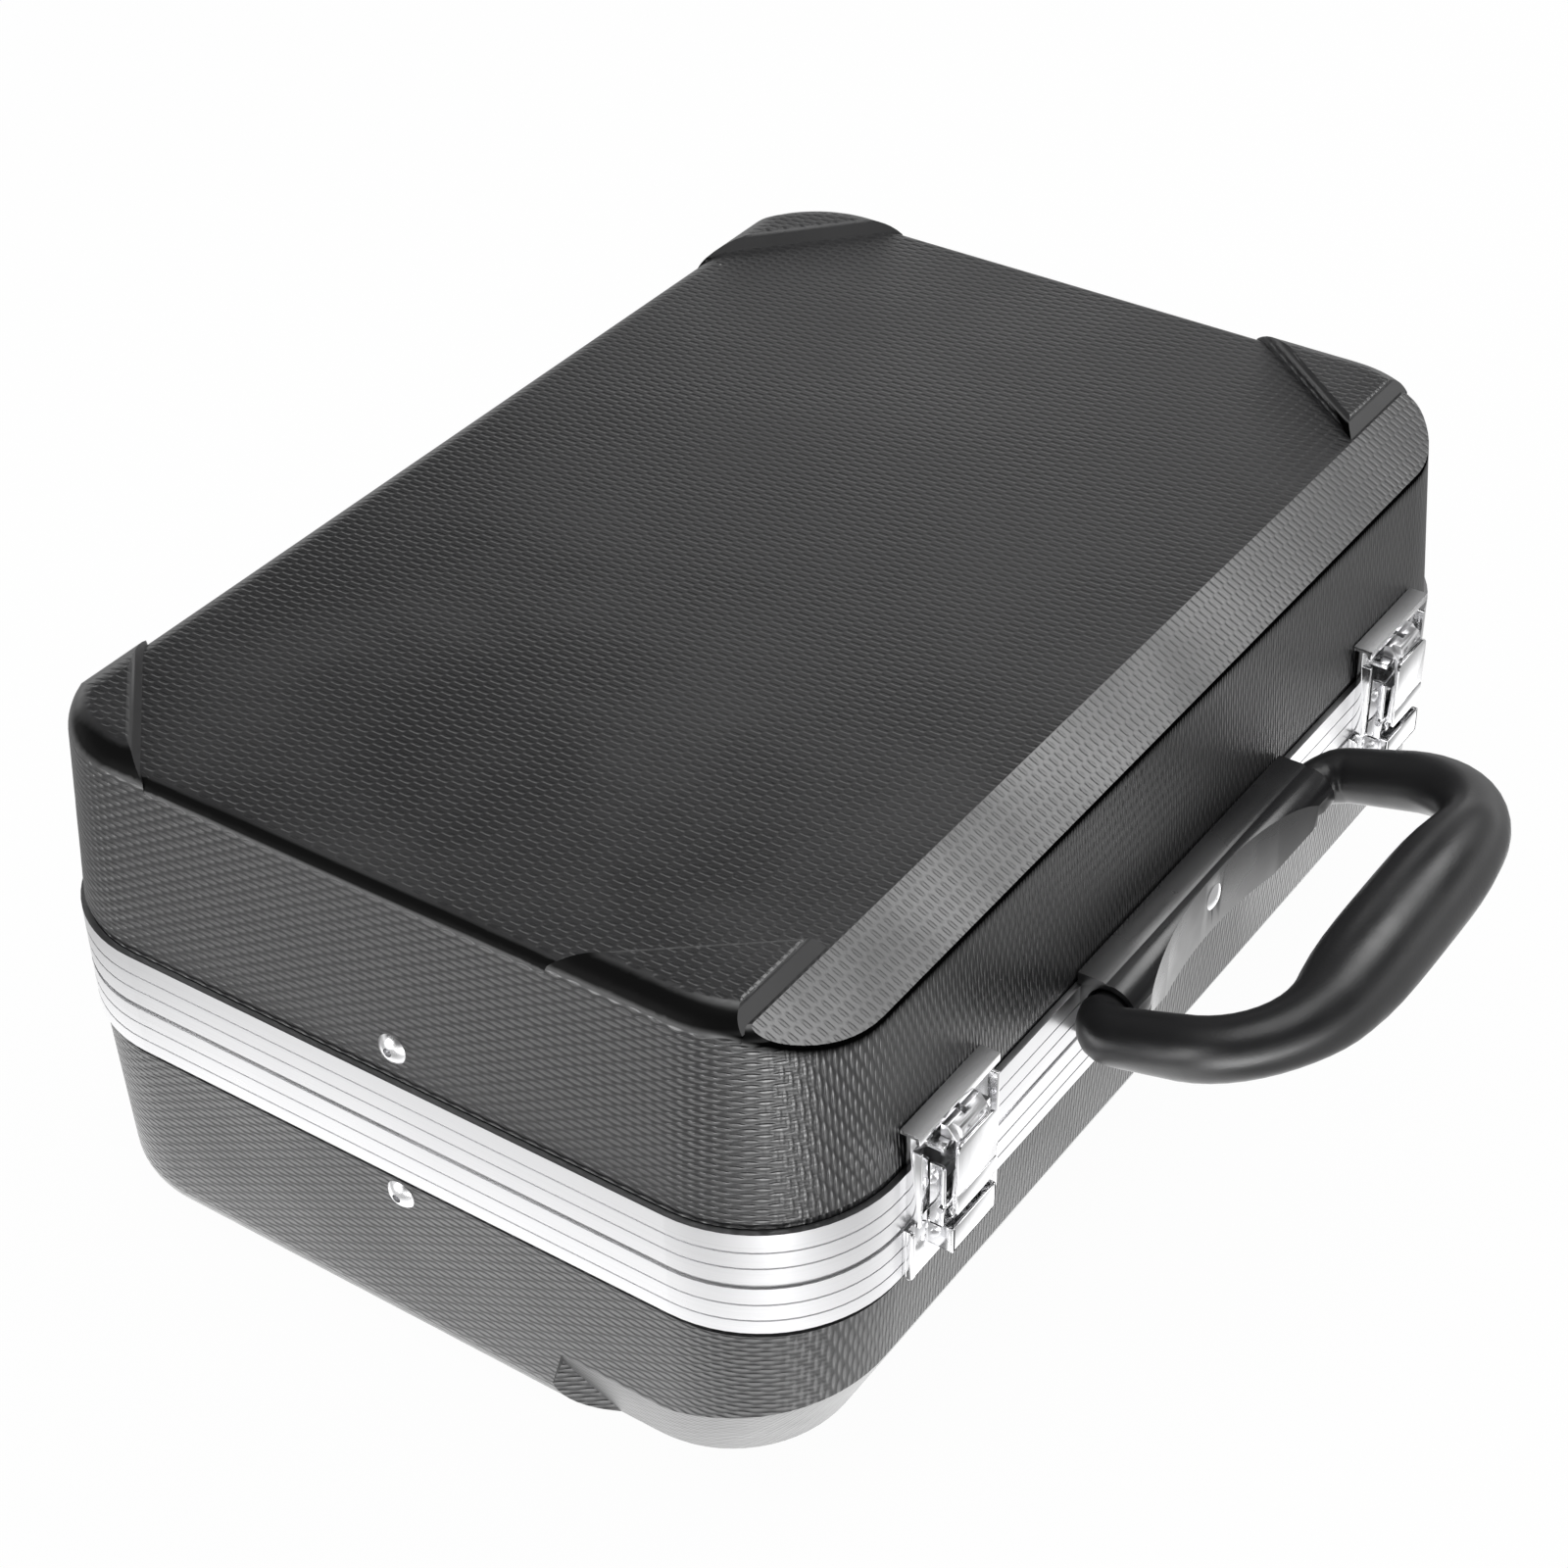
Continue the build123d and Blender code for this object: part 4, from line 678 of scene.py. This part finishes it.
SHEET = EmbossedSheet("shell_black", (0.014, 0.014, 0.015), 0.36)
VALANCE = DrawnAluminium("valance_aluminium", (0.8, 0.8, 0.81), 0.3)
CHROME = Plated("chrome_plate", (0.82, 0.82, 0.83), 0.12, mm(0.012), 0.05, mm(105.8))
HOOK = Plated("chrome_plate", (0.84, 0.84, 0.85), 0.3, mm(0.005), 0.05)
STEEL = Plated("bright_steel", (0.78, 0.78, 0.79), 0.16)
ZINC = Plated("zinc_steel", (0.62, 0.63, 0.65), 0.34, mm(0.02), 0.14)
RIVET = Plated("rivet_aluminium", (0.84, 0.84, 0.85), 0.26, mm(0.008))
BRACKET = Moulding("handle_plastic", (0.014, 0.014, 0.015), 0.3, 900.0, mm(0.01))
GRIP = Moulding("grip_plastic", (0.012, 0.012, 0.013), 0.36)
PLUSH = Pile("lining_plush", (0.03, 0.03, 0.033), 0.95)
FLOCK = Pile("foam_insert", (0.02, 0.02, 0.022), 0.95, 2400.0, mm(0.25))
STRAP = Webbing("strap_webbing", (0.02, 0.02, 0.022), 0.8)


def dress(node: str, finish: Finish) -> None:
    """Give a CAD node that stays its real finish.

    Args:
        node: The node.
        finish: What it is finished in.
    """
    frame["nodes"][node].material_slots[0].material = finish.material()
    log.info("%s: kept, finish %s", node, finish.slot)


def fit(piece: bpy.types.Object, finish: Finish, body: str, nodes: Iterable[str] = ()) -> bpy.types.Object:
    """Finish a piece and hang it on its body.

    Args:
        piece: The finished mesh.
        finish: What it is finished in.
        body: The body that it rides on.
        nodes: CAD nodes that it stands for.

    Returns:
        The same object.
    """
    piece.data.materials.clear()
    piece.data.materials.append(finish.material())
    if nodes:
        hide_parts(*nodes)
    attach(piece, body)
    log.info("%s: %d faces, rides on %s", piece.name, len(piece.data.polygons), body)
    return piece


# Sub-assemblies


@dataclass
class Shells:
    """The two moulded halves and the bright extrusions round their mouths."""

    def build(self) -> None:
        """Both shells and both valances are CAD nodes with their real finish."""
        for node in ("base_shell", "lid_shell"):
            dress(node, SHEET)
        for node in ("base_valance", "lid_valance"):
            dress(node, VALANCE)


@dataclass
class Hinges:
    """Two hinges along the back, and all the rivets of the frame."""

    edge: float = mm(0.25)

    def build(self) -> None:
        """Leaves with rounded edges; pins and rivets as they are."""
        for side in Side:
            for half, body in (("base", Body.BASE), ("lid", Body.LID)):
                node = f"hinge_leaf_{half}_{side.word}"
                leaf = soften(copy_of(node, f"hinge_leaf_{half}_{side.word}_plate"), self.edge)
                fit(leaf, STEEL, body.value, [node])
            dress(f"hinge_pin_{side.word}", STEEL)
        for node in ("hinge_rivets_base", "hinge_rivets_lid", "latch_rivets_base", "latch_rivets_lid"):
            dress(node, STEEL)


@dataclass
class Latches:
    """Two draw latches: catch and strike on the lid, lever and hook on the base.

    Sizes in millimetres. A face is a Y, a foot, top or height is a Z, and a half is a distance from the
    latch's middle along X.
    """

    edge: float = 0.2
    middle: float = 112.5
    past: float = 1.0
    flap_half: float = 8.3
    flap_face: float = -128.0
    flap_thick: float = 1.0
    flap_foot: float = 77.7
    flap_top: float = 98.5
    flap_corner: float = 2.4
    fold: float = 83.4
    fold_wide: float = 0.4
    fold_deep: float = 0.35
    claw_in: float = 0.8
    claw_out: float = 7.0
    claw_low: float = 98.75
    claw_high: float = 102.2
    claw_face: float = -126.7
    claw_back: float = -122.2
    claw_lean: float = 2.7
    claw_edge: float = 0.3
    opening: tuple[Point, Point] = ((2.5, -127.7, 99.9), (4.3, -124.4, 101.3))
    plate_half: float = 18.5
    plate_face: float = -120.7
    plate_back: float = -119.5
    plate_foot: float = 59.5
    plate_top: float = 76.75
    plate_corner: float = 3.0
    window: Point = (7.9, 72.9, 83.5)
    sunk: float = 0.3
    flange_face: float = -122.4
    flange_foot: float = 61.6
    flange_sheet: float = 1.2
    housing_half: float = 9.5
    housing_face: float = -127.5
    housing_foot: float = 66.0
    housing_top: float = 73.5
    housing_sheet: float = 1.0
    cheek_sheet: float = 1.1
    ear_face: float = -124.9
    ear_foot: float = 72.5
    ear_top: float = 91.5
    wall_edge: float = 0.25

    def lever(self, word: str, x: float) -> bpy.types.Object:
        """Lever with a wide flap, its top corners rounded, and a fold across its foot.

        Args:
            word: Which latch.
            x: Its middle.

        Returns:
            The new piece.
        """
        node = f"latch_lever_{word}"
        lever = soften(copy_of(node, node + "_pressing"), mm(self.edge))
        flap = block("flap", (x - self.flap_half, self.flap_face, self.flap_foot),
                     (x + self.flap_half, self.flap_face + self.flap_thick, self.flap_top))
        high = mm(self.flap_top - NEAR)
        round_edges(flap, mm(self.flap_corner), lambda a, b: min(a.z, b.z) > high and abs(a.x - b.x) < MERGE)
        wide, tall = self.flap_half + self.past, self.fold_wide / 2
        cut(flap, block("fold", (x - wide, self.flap_face - self.past, self.fold - tall),
                        (x + wide, self.flap_face + self.fold_deep, self.fold + tall)))
        soften(flap, mm(self.edge))
        return joined(lever, flap)

    def hook(self, word: str, x: float) -> bpy.types.Object:
        """Hook plate with two sloping claws, each with a small opening.

        Args:
            word: Which latch.
            x: Its middle.

        Returns:
            The new piece.
        """
        node = f"latch_hook_{word}"
        hook = soften(copy_of(node, node + "_pressing"), mm(self.edge))
        for side in (-1.0, 1.0):
            low, high = sorted((x + side * self.claw_in, x + side * self.claw_out))
            claw = block("claw", (low, self.claw_face, self.claw_low), (high, self.claw_back, self.claw_high))
            for vertex in claw.data.vertices:
                if vertex.co.z > mm(self.claw_high - NEAR) and vertex.co.y < mm(self.claw_face + NEAR):
                    vertex.co.y += mm(self.claw_lean)
            (x_in, *near), (x_out, *far) = self.opening
            left, right = sorted((x + side * x_in, x + side * x_out))
            cut(claw, block("opening", (left, *near), (right, *far)))
            joined(hook, soften(claw, mm(self.claw_edge), 3))
        return hook

    def plate(self, word: str, x: float) -> bpy.types.Object:
        """Base plate with side flanges, its housing, and two tall cheeks round the lever's pins.

        Args:
            word: Which latch.
            x: Its middle.

        Returns:
            The new piece.
        """
        half, face = self.plate_half, self.plate_face
        plate = block(f"latch_base_plate_{word}_pressing", (x - half, face, self.plate_foot),
                      (x + half, self.plate_back, self.plate_top))
        low = mm(self.plate_foot + NEAR)
        round_edges(plate, mm(self.plate_corner), lambda a, b: max(a.z, b.z) < low and abs(a.x - b.x) < MERGE)
        cut(plate, block("window", (x - self.window[0], face - self.past, self.window[1]),
                         (x + self.window[0], self.plate_back + self.past, self.window[2])))
        parts = [soften(plate, mm(self.edge))]
        low_end, high_end = x - self.housing_half, x + self.housing_half
        foot, top, behind = self.housing_foot, self.housing_top, face + self.sunk
        for side in (-1.0, 1.0):
            cheek = x + side * self.housing_half
            parts.append(self.wall(x + side * half, side, self.flange_sheet, (self.flange_face, behind),
                                   (self.flange_foot, self.plate_top - NEAR), 1.3))
            parts.append(self.wall(cheek, side, self.cheek_sheet, (self.housing_face, behind),
                                   (foot, top), 0.3))
            parts.append(self.wall(cheek, side, self.cheek_sheet, (self.ear_face, face - self.sunk),
                                   (self.ear_foot, self.ear_top), 1.2))
        front = block("front", (low_end, self.housing_face, foot),
                      (high_end, self.housing_face + self.housing_sheet, top))
        floor = block("floor", (low_end, self.housing_face, foot),
                      (high_end, behind, foot + self.housing_sheet))
        parts += [soften(front, mm(self.sunk)), soften(floor, mm(self.sunk))]
        return joined(*parts)

    def wall(self, outer: float, side: float, sheet: float, depth: tuple[float, float],
             height: tuple[float, float], corner: float) -> bpy.types.Object:
        """Upright piece of sheet square to the case, its two front corners rounded.

        Args:
            outer: X of its outer face.
            side: Which way that face looks along X.
            sheet: Its thickness.
            depth: Y of its front and back.
            height: Z of its foot and top.
            corner: Radius of its front corners.

        Returns:
            The new object.
        """
        low, high = sorted((outer, outer - side * sheet))
        piece = block("wall", (low, depth[0], height[0]), (high, depth[1], height[1]))
        front = mm(depth[0] + NEAR)
        round_edges(piece, mm(corner), lambda a, b: max(a.y, b.y) < front and abs(a.z - b.z) < MERGE)
        return soften(piece, mm(self.wall_edge))

    def build(self) -> None:
        """Pressed pieces with rolled edges, and their pins."""
        for side in Side:
            word, x = side.word, side.sign * self.middle
            catch = soften(copy_of(f"latch_catch_{word}", f"latch_catch_{word}_pressing"), mm(self.edge))
            fit(catch, CHROME, "lid", [f"latch_catch_{word}"])
            fit(self.plate(word, x), CHROME, "base", [f"latch_base_plate_{word}"])
            fit(self.lever(word, x), CHROME, f"lever_{word}", [f"latch_lever_{word}"])
            fit(self.hook(word, x), HOOK, f"hook_{word}", [f"latch_hook_{word}"])
            dress(f"latch_lever_pins_{word}", CHROME)
            dress(f"latch_hook_pin_{word}", CHROME)


@dataclass
class Handle:
    """Bracket with its rivet, and the bent grip."""

    pivot: Point = (0.0, mm(-127.5), mm(88.9))
    half_width: float = mm(61.5)
    reach: float = mm(52.7)
    elbow: float = mm(9.0)
    corner: float = mm(27.0)
    tilt: float = math.radians(16.5)
    end_x: float = mm(45.0)
    end_radius: float = mm(5.2)
    elbow_radius: float = mm(7.3)
    arm_radius: float = mm(7.9)
    middle_radius: float = mm(12.4)
    bore_radius: float = mm(2.55)
    bore_depth: float = mm(6.4)
    around: int = 40
    elbow_steps: int = 8
    corner_steps: int = 12
    least: float = 1e-6

    def radius(self, x: float, out: float) -> float:
        """Radius of the grip at a point of its line."""
        if out < mm(0.01):
            return self.end_radius
        if out < self.elbow + mm(0.01):
            share = min(1.0, 0.5 + out / self.elbow)
            return self.end_radius + (self.elbow_radius - self.end_radius) * share
        swell = math.exp(-(abs(x) / (0.68 * self.half_width)) ** 4)
        return self.arm_radius + (self.middle_radius - self.arm_radius) * swell

    def line(self) -> list[tuple[float, float, float]]:
        """Half of the grip's line, from its left end, as (x, out, heading from -X in radians)."""
        a, d, e, c = self.half_width, self.reach, self.elbow, self.corner
        points = [(-self.end_x, 0.0, 0.0), (-(a - e), 0.0, 0.0)]
        for k in range(1, self.elbow_steps + 1):
            t = math.radians(90 * k / self.elbow_steps)
            points.append((-(a - e) - e * math.sin(t), e - e * math.cos(t), t))
        for k in range(self.corner_steps + 1):
            t = math.radians(90 * k / self.corner_steps)
            points.append((-a + c - c * math.cos(t), d - c + c * math.sin(t), math.pi / 2 + t))
        inner = a - c
        for k in range(1, 5):
            points.append((-inner * (1 - k / 5), d, math.pi))
        return points

    def grip(self) -> bpy.types.Object:
        """The bent grip, drawn out section by section from a ring, with bored ends.

        Returns:
            The new piece.
        """
        half = self.line()
        points = half + [(0.0, self.reach, math.pi)]
        points += [(-x, out, 2 * math.pi - h) for x, out, h in reversed(half)]
        bpy.ops.mesh.primitive_circle_add(vertices=self.around, radius=self.end_radius, fill_type="NGON",
                                          location=(points[0][0], 0.0, 0.0), rotation=(0.0, math.pi / 2, 0.0))
        piece = bpy.context.object
        piece.name = "handle_grip_moulding"
        bpy.ops.object.transform_apply(location=True, rotation=True, scale=True)
        take(piece)
        bpy.ops.object.mode_set(mode="EDIT")
        bpy.ops.mesh.select_all(action="SELECT")
        for before, after in zip(points[:-1], points[1:]):
            step = (after[0] - before[0], before[1] - after[1], 0.0)
            bpy.ops.mesh.extrude_region_move(TRANSFORM_OT_translate={"value": step})
            centre = (after[0], -after[1], 0.0)
            turn = before[2] - after[2]
            if abs(turn) > self.least:
                bpy.ops.transform.rotate(value=turn, orient_axis="Z", center_override=centre)
            grow = self.radius(after[0], after[1]) / self.radius(before[0], before[1])
            if abs(grow - 1.0) > self.least:
                bpy.ops.transform.resize(value=(grow, grow, grow), center_override=centre)
        bpy.ops.object.mode_set(mode="OBJECT")
        self.bore(piece)
        edit(piece, lambda: bpy.ops.mesh.normals_make_consistent(inside=False))
        piece.data.transform(Matrix.Translation(self.pivot) @ Matrix.Rotation(-self.tilt, 4, "X"))
        return smooth(piece, 50.0)

    def bore(self, piece: bpy.types.Object) -> None:
        """Sink a hole for its pin into each end of the grip.

        Args:
            piece: The grip, lying flat on its own line.
        """
        for side in (-1.0, 1.0):
            take(piece)
            bpy.ops.object.mode_set(mode="EDIT")
            bpy.ops.mesh.select_mode(type="FACE")
            bpy.ops.mesh.select_all(action="DESELECT")
            bpy.ops.object.mode_set(mode="OBJECT")
            for face in piece.data.polygons:
                whole_end = len(face.vertices) > 8 and abs(face.center.y) < mm(1.0)
                face.select = whole_end and side * face.center.x < 0
            bpy.ops.object.mode_set(mode="EDIT")
            bpy.ops.mesh.inset(thickness=self.end_radius - self.bore_radius)
            inward = (side * -self.bore_depth, 0.0, 0.0)
            bpy.ops.mesh.extrude_region_move(TRANSFORM_OT_translate={"value": inward})
            bpy.ops.object.mode_set(mode="OBJECT")

    def build(self) -> None:
        """Grip, bracket, its rivet, pins and backing plate."""
        fit(self.grip(), GRIP, "handle", ["handle_grip"])
        bracket = soften(copy_of("handle_bracket", "handle_bracket_moulding"), mm(0.5), 3)
        fit(bracket, BRACKET, "lid", ["handle_bracket"])
        dress("handle_rivet", CHROME)
        for node in ("handle_pin_left", "handle_pin_right", "handle_backing_plate"):
            dress(node, ZINC)


@dataclass
class Stay:
    """The woven strap that holds the lid, and its rivets, spacers and washers. Sizes in millimetres."""

    width: float = 18.0
    thick: float = 1.3
    across: int = 8
    step: float = 1.5
    length: float = 1.02 * 63.4
    blend_start: Point = (mm(-162.4), 0.0, mm(60.5))
    blend_end: Point = (mm(-161.9), 0.0, mm(96.5))

    def middle_line(self) -> list[tuple[float, float]]:
        """Middle line of the strap as (x, z), from its base end to its lid end, a step apart at most."""
        corners = [(-163.0, 46.9), (-162.4, 60.0), (-161.3, 66.0), (-159.9, 77.5), (-161.3, 89.0),
                   (-161.9, 95.0), (-160.0, 109.9)]
        points = [corners[0]]
        for (xa, za), (xb, zb) in zip(corners[:-1], corners[1:]):
            steps = max(1, math.ceil(math.hypot(xb - xa, zb - za) / self.step))
            points += [(xa + (xb - xa) * k / steps, za + (zb - za) * k / steps)
                       for k in range(1, steps + 1)]
        return points

    def strap(self) -> bpy.types.Object:
        """Flat ribbon along its line, with a UV map in millimetres for the weave.

        Returns:
            The new piece.
        """
        line = self.middle_line()
        bpy.ops.mesh.primitive_grid_add(x_subdivisions=self.across, y_subdivisions=len(line) - 1, size=1.0)
        ribbon = bpy.context.object
        ribbon.name = "stay_strap_webbing"
        for vertex in ribbon.data.vertices:
            row = round((vertex.co.y + 0.5) * (len(line) - 1))
            x, z = line[row]
            vertex.co = (mm(x), mm(self.width * vertex.co.x), mm(z))
        for entry in ribbon.data.uv_layers.active.data:
            entry.uv = (entry.uv[0] * self.width, entry.uv[1] * self.step * (len(line) - 1))
        modify(ribbon, "SOLIDIFY", thickness=mm(self.thick), offset=0.0)
        edit(ribbon, lambda: bpy.ops.mesh.normals_make_consistent(inside=False))
        return soften(ribbon, mm(0.3), 2, 60.0)

    def build(self) -> None:
        """Rivets and washers, and the strap, which bends between the base and the lid."""
        for half in ("lid", "base"):
            dress(f"stay_rivet_{half}", RIVET)
            dress(f"stay_spacer_{half}", ZINC)
            dress(f"stay_washer_{half}", ZINC)
        ribbon = self.strap()
        ribbon.data.materials.clear()
        ribbon.data.materials.append(STRAP.material())
        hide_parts("stay_strap")
        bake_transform(ribbon)
        log.info("%s: %d faces, bends between base and lid", ribbon.name, len(ribbon.data.polygons))


@dataclass
class Interior:
    """Flocked insert, plush lining and the lid's cushion."""

    voxel: float = mm(5.0)
    shrink: Point = (0.985, 0.985, 0.93)
    pressure: float = 4.0
    frames: int = 20

    def build(self) -> None:
        """The soft pieces of the inside."""
        insert = soften(copy_of("base_insert", "base_insert_foam"), mm(0.8), 2)
        fit(insert, FLOCK, "base", ["base_insert"])
        lining = soften(copy_of("lid_lining", "lid_lining_plush"), mm(0.8), 2)
        fit(lining, PLUSH, "lid", ["lid_lining"])
        cushion = self.cushion()
        fit(cushion, PLUSH, "lid", ["lid_cushion"])

    def cushion(self) -> bpy.types.Object:
        """Pad under the lid's panel, its cover blown out a little as cloth from the inside.

        Returns:
            The new piece.
        """
        pad = copy_of("lid_cushion", "lid_cushion_pad")
        modify(pad, "REMESH", mode="VOXEL", voxel_size=self.voxel)
        take(pad)
        corners = pad.data.vertices
        middle = pad.matrix_world @ (sum((v.co for v in corners), Vector()) / len(corners))
        pad.data.transform(Matrix.Translation(middle) @ Matrix.Diagonal((*self.shrink, 1.0))
                           @ Matrix.Translation(-middle))
        group = pad.vertex_groups.new(name="held")
        top = max(v.co.z for v in pad.data.vertices)
        group.add([v.index for v in pad.data.vertices if v.co.z > top - mm(3.0)], 1.0, "REPLACE")
        self.puff(pad, group.name)
        modify(pad, "SUBSURF", levels=1)
        return smooth(pad, 60.0)

    def puff(self, pad: bpy.types.Object, held: str) -> None:
        """Blow the pad's cover out with a short cloth run and keep the result.

        Args:
            pad: The pad.
            held: Vertex group that is glued to the lid.
        """
        scene = bpy.context.scene
        scene.gravity = (0.0, 0.0, 0.0)
        cloth = pad.modifiers.new("Cloth", "CLOTH")
        cloth.settings.quality = 6
        cloth.settings.mass = 0.3
        cloth.settings.tension_stiffness = 12.0
        cloth.settings.compression_stiffness = 12.0
        cloth.settings.bending_stiffness = 0.8
        cloth.settings.use_pressure = True
        cloth.settings.uniform_pressure_force = self.pressure
        cloth.settings.vertex_group_mass = held
        cloth.collision_settings.use_self_collision = False
        cloth.point_cache.frame_start = 1
        cloth.point_cache.frame_end = self.frames
        for number in range(1, self.frames + 1):
            scene.frame_set(number)
        take(pad)
        bpy.ops.object.modifier_apply(modifier=cloth.name)
        scene.frame_set(1)


@dataclass
class Studio:
    """Floor, light and camera.

    The floor's glow is what it shows in reflections. The ..._fall and ..._rise fields are the distances
    between which a share of it changes.
    """

    place: Point = (-0.563414, -0.39606, 0.591523)
    turn: Point = (0.9241896, 0.01972332, -0.96913096)
    lens: float = 72.683
    target: Point = (0.0, 0.0, 0.08)
    floor_seen: float = 0.97
    floor_near: float = 1.6
    floor_far: float = 0.5
    floor_foot: float = 0.35
    floor_corner: float = 4.2
    floor_right: float = 1.8
    footprint: tuple[float, float] = (mm(165.0), mm(110.0))
    near_fall: tuple[float, float] = (mm(20.0), mm(130.0))
    foot_fall: tuple[float, float] = (0.0, mm(25.0))
    corner_rise: tuple[float, float] = (mm(50.0), mm(120.0))
    right_rise: tuple[float, float] = (mm(50.0), mm(200.0))
    soft: float = 0.45
    horizon: float = 0.12
    overhead: float = 0.42
    dark: float = 0.06

    def floor(self) -> None:
        """Pale floor that shows white and keeps a soft shadow."""
        bpy.ops.mesh.primitive_plane_add(size=12.0, location=(0.0, 0.0, 0.0))
        floor = bpy.context.object
        floor.name = "studio_floor"
        graph = Graph("studio_floor")
        tone = graph.remap(graph.noise(3.0, 1.0), 0.0, 1.0, 0.88, 0.92)
        graph.surface(Roughness=0.9)
        tree = graph.tree
        join = tree.nodes.new("ShaderNodeCombineColor")
        for socket in join.inputs:
            tree.links.new(tone, socket)
        tree.links.new(join.outputs[0], graph.shader.inputs["Base Color"])
        light = tree.nodes.new("ShaderNodeEmission")
        path = tree.nodes.new("ShaderNodeLightPath")
        blend = tree.nodes.new("ShaderNodeMixShader")
        output = next(n for n in tree.nodes if n.type == "OUTPUT_MATERIAL")
        glow = self.glow(graph)
        tree.links.new(graph.mix(path.outputs["Is Glossy Ray"], 1.0, glow), light.inputs["Strength"])
        seen = graph.times(path.outputs["Is Camera Ray"], self.floor_seen)
        tree.links.new(graph.maths("MAXIMUM", seen, path.outputs["Is Glossy Ray"]), blend.inputs[0])
        tree.links.new(graph.shader.outputs[0], blend.inputs[1])
        tree.links.new(light.outputs[0], blend.inputs[2])
        tree.links.new(blend.outputs[0], output.inputs["Surface"])
        floor.data.materials.append(graph.material)

    def glow(self, graph: Graph) -> bpy.types.NodeSocket:
        """How bright the floor is in reflections: more near the case, at its right and off its near corner.

        Args:
            graph: The floor's nodes.

        Returns:
            The strength.
        """
        x, y, _ = graph.split(graph.place)
        half_x, half_y = self.footprint
        out_x = graph.maths("MAXIMUM", graph.maths("SUBTRACT", graph.maths("ABSOLUTE", x), half_x), 0.0)
        out_y = graph.maths("MAXIMUM", graph.maths("SUBTRACT", graph.maths("ABSOLUTE", y), half_y), 0.0)
        away = graph.maths("SQRT", graph.plus(graph.times(out_x, out_x),
                                               graph.times(out_y, out_y)))
        near = graph.remap(away, *self.near_fall, self.floor_near - self.floor_far, 0.0)
        glow = graph.times(near, graph.remap(x, *self.right_rise, 1.0, self.floor_right))
        glow = graph.plus(glow, graph.remap(away, *self.foot_fall, self.floor_foot, 0.0))
        ahead = graph.maths("MINIMUM", graph.maths("SUBTRACT", -half_x, x),
                            graph.maths("SUBTRACT", -half_y, y))
        glow = graph.plus(glow, graph.remap(ahead, *self.corner_rise, 0.0, self.floor_corner))
        return graph.plus(glow, self.floor_far)

    def world(self) -> None:
        """White to the camera; in reflections white at the horizon and dark overhead; else a plain level."""
        world = bpy.data.worlds.new("studio")
        bpy.context.scene.world = world
        world.use_nodes = True
        tree = world.node_tree
        path = tree.nodes.new("ShaderNodeLightPath")
        height = tree.nodes.new("ShaderNodeSeparateXYZ")
        tree.links.new(tree.nodes.new("ShaderNodeTexCoord").outputs["Generated"], height.inputs[0])
        fall = tree.nodes.new("ShaderNodeMapRange")
        fall.interpolation_type = "SMOOTHSTEP"
        tree.links.new(height.outputs[2], fall.inputs["Value"])
        for name, value in (("From Min", self.horizon), ("From Max", self.overhead), ("To Min", 1.0),
                            ("To Max", self.dark)):
            fall.inputs[name].default_value = value
        level: bpy.types.NodeSocket | None = None
        for ray, value in (("Is Glossy Ray", fall.outputs[0]), ("Is Camera Ray", 1.0),
                           ("Is Transmission Ray", 1.0)):
            choose = tree.nodes.new("ShaderNodeMix")
            sockets = [s for s in choose.inputs if s.enabled]
            tree.links.new(path.outputs[ray], sockets[0])
            if level is None:
                sockets[1].default_value = self.soft
            else:
                tree.links.new(level, sockets[1])
            if isinstance(value, float):
                sockets[2].default_value = value
            else:
                tree.links.new(value, sockets[2])
            level = next(s for s in choose.outputs if s.enabled)
        background = tree.nodes["Background"]
        tree.links.new(level, background.inputs["Strength"])
        background.inputs["Color"].default_value = (1.0, 1.0, 1.0, 1.0)

    def lamp(self, name: str, place: Point, size: float, power: float) -> None:
        """A square soft box that points at the case.

        Args:
            name: Name of the lamp.
            place: Where it stands.
            size: Length of a side, in metres.
            power: Watts.
        """
        bpy.ops.object.light_add(type="AREA", location=place)
        lamp = bpy.context.object
        lamp.name = name
        lamp.data.size = size
        lamp.data.energy = power
        aim = Vector(self.target) - Vector(place)
        lamp.rotation_euler = aim.to_track_quat("-Z", "Y").to_euler()

    def camera(self) -> None:
        """Camera at the photograph's angle."""
        bpy.ops.object.camera_add(location=self.place, rotation=self.turn)
        camera = bpy.context.object
        camera.data.lens = self.lens
        camera.data.sensor_width = 36.0
        camera.data.clip_start = 0.01
        bpy.context.scene.camera = camera

    def build(self) -> None:
        """Set the whole studio up."""
        self.camera()
        self.floor()
        self.world()
        self.lamp("overhead", (-0.2, -0.1, 1.9), 1.3, 8.0)
        self.lamp("left", (-1.6, 0.7, 0.45), 1.0, 11.0)
        self.lamp("bevel strip", (0.85, -0.4, 1.25), 0.7, 5.8)
        self.lamp("far right", (1.6, 0.95, 1.1), 0.6, 0.6)
        bpy.context.scene.view_settings.view_transform = "Standard"


def main() -> None:
    """Build the camera, the case and its surroundings."""
    logging.basicConfig(level=logging.INFO, format="%(name)s: %(message)s")
    Studio().build()
    for assembly in (Shells(), Hinges(), Latches(), Handle(), Stay(), Interior()):
        log.info("building %s", type(assembly).__name__)
        assembly.build()


if __name__ == "__main__":
    main()
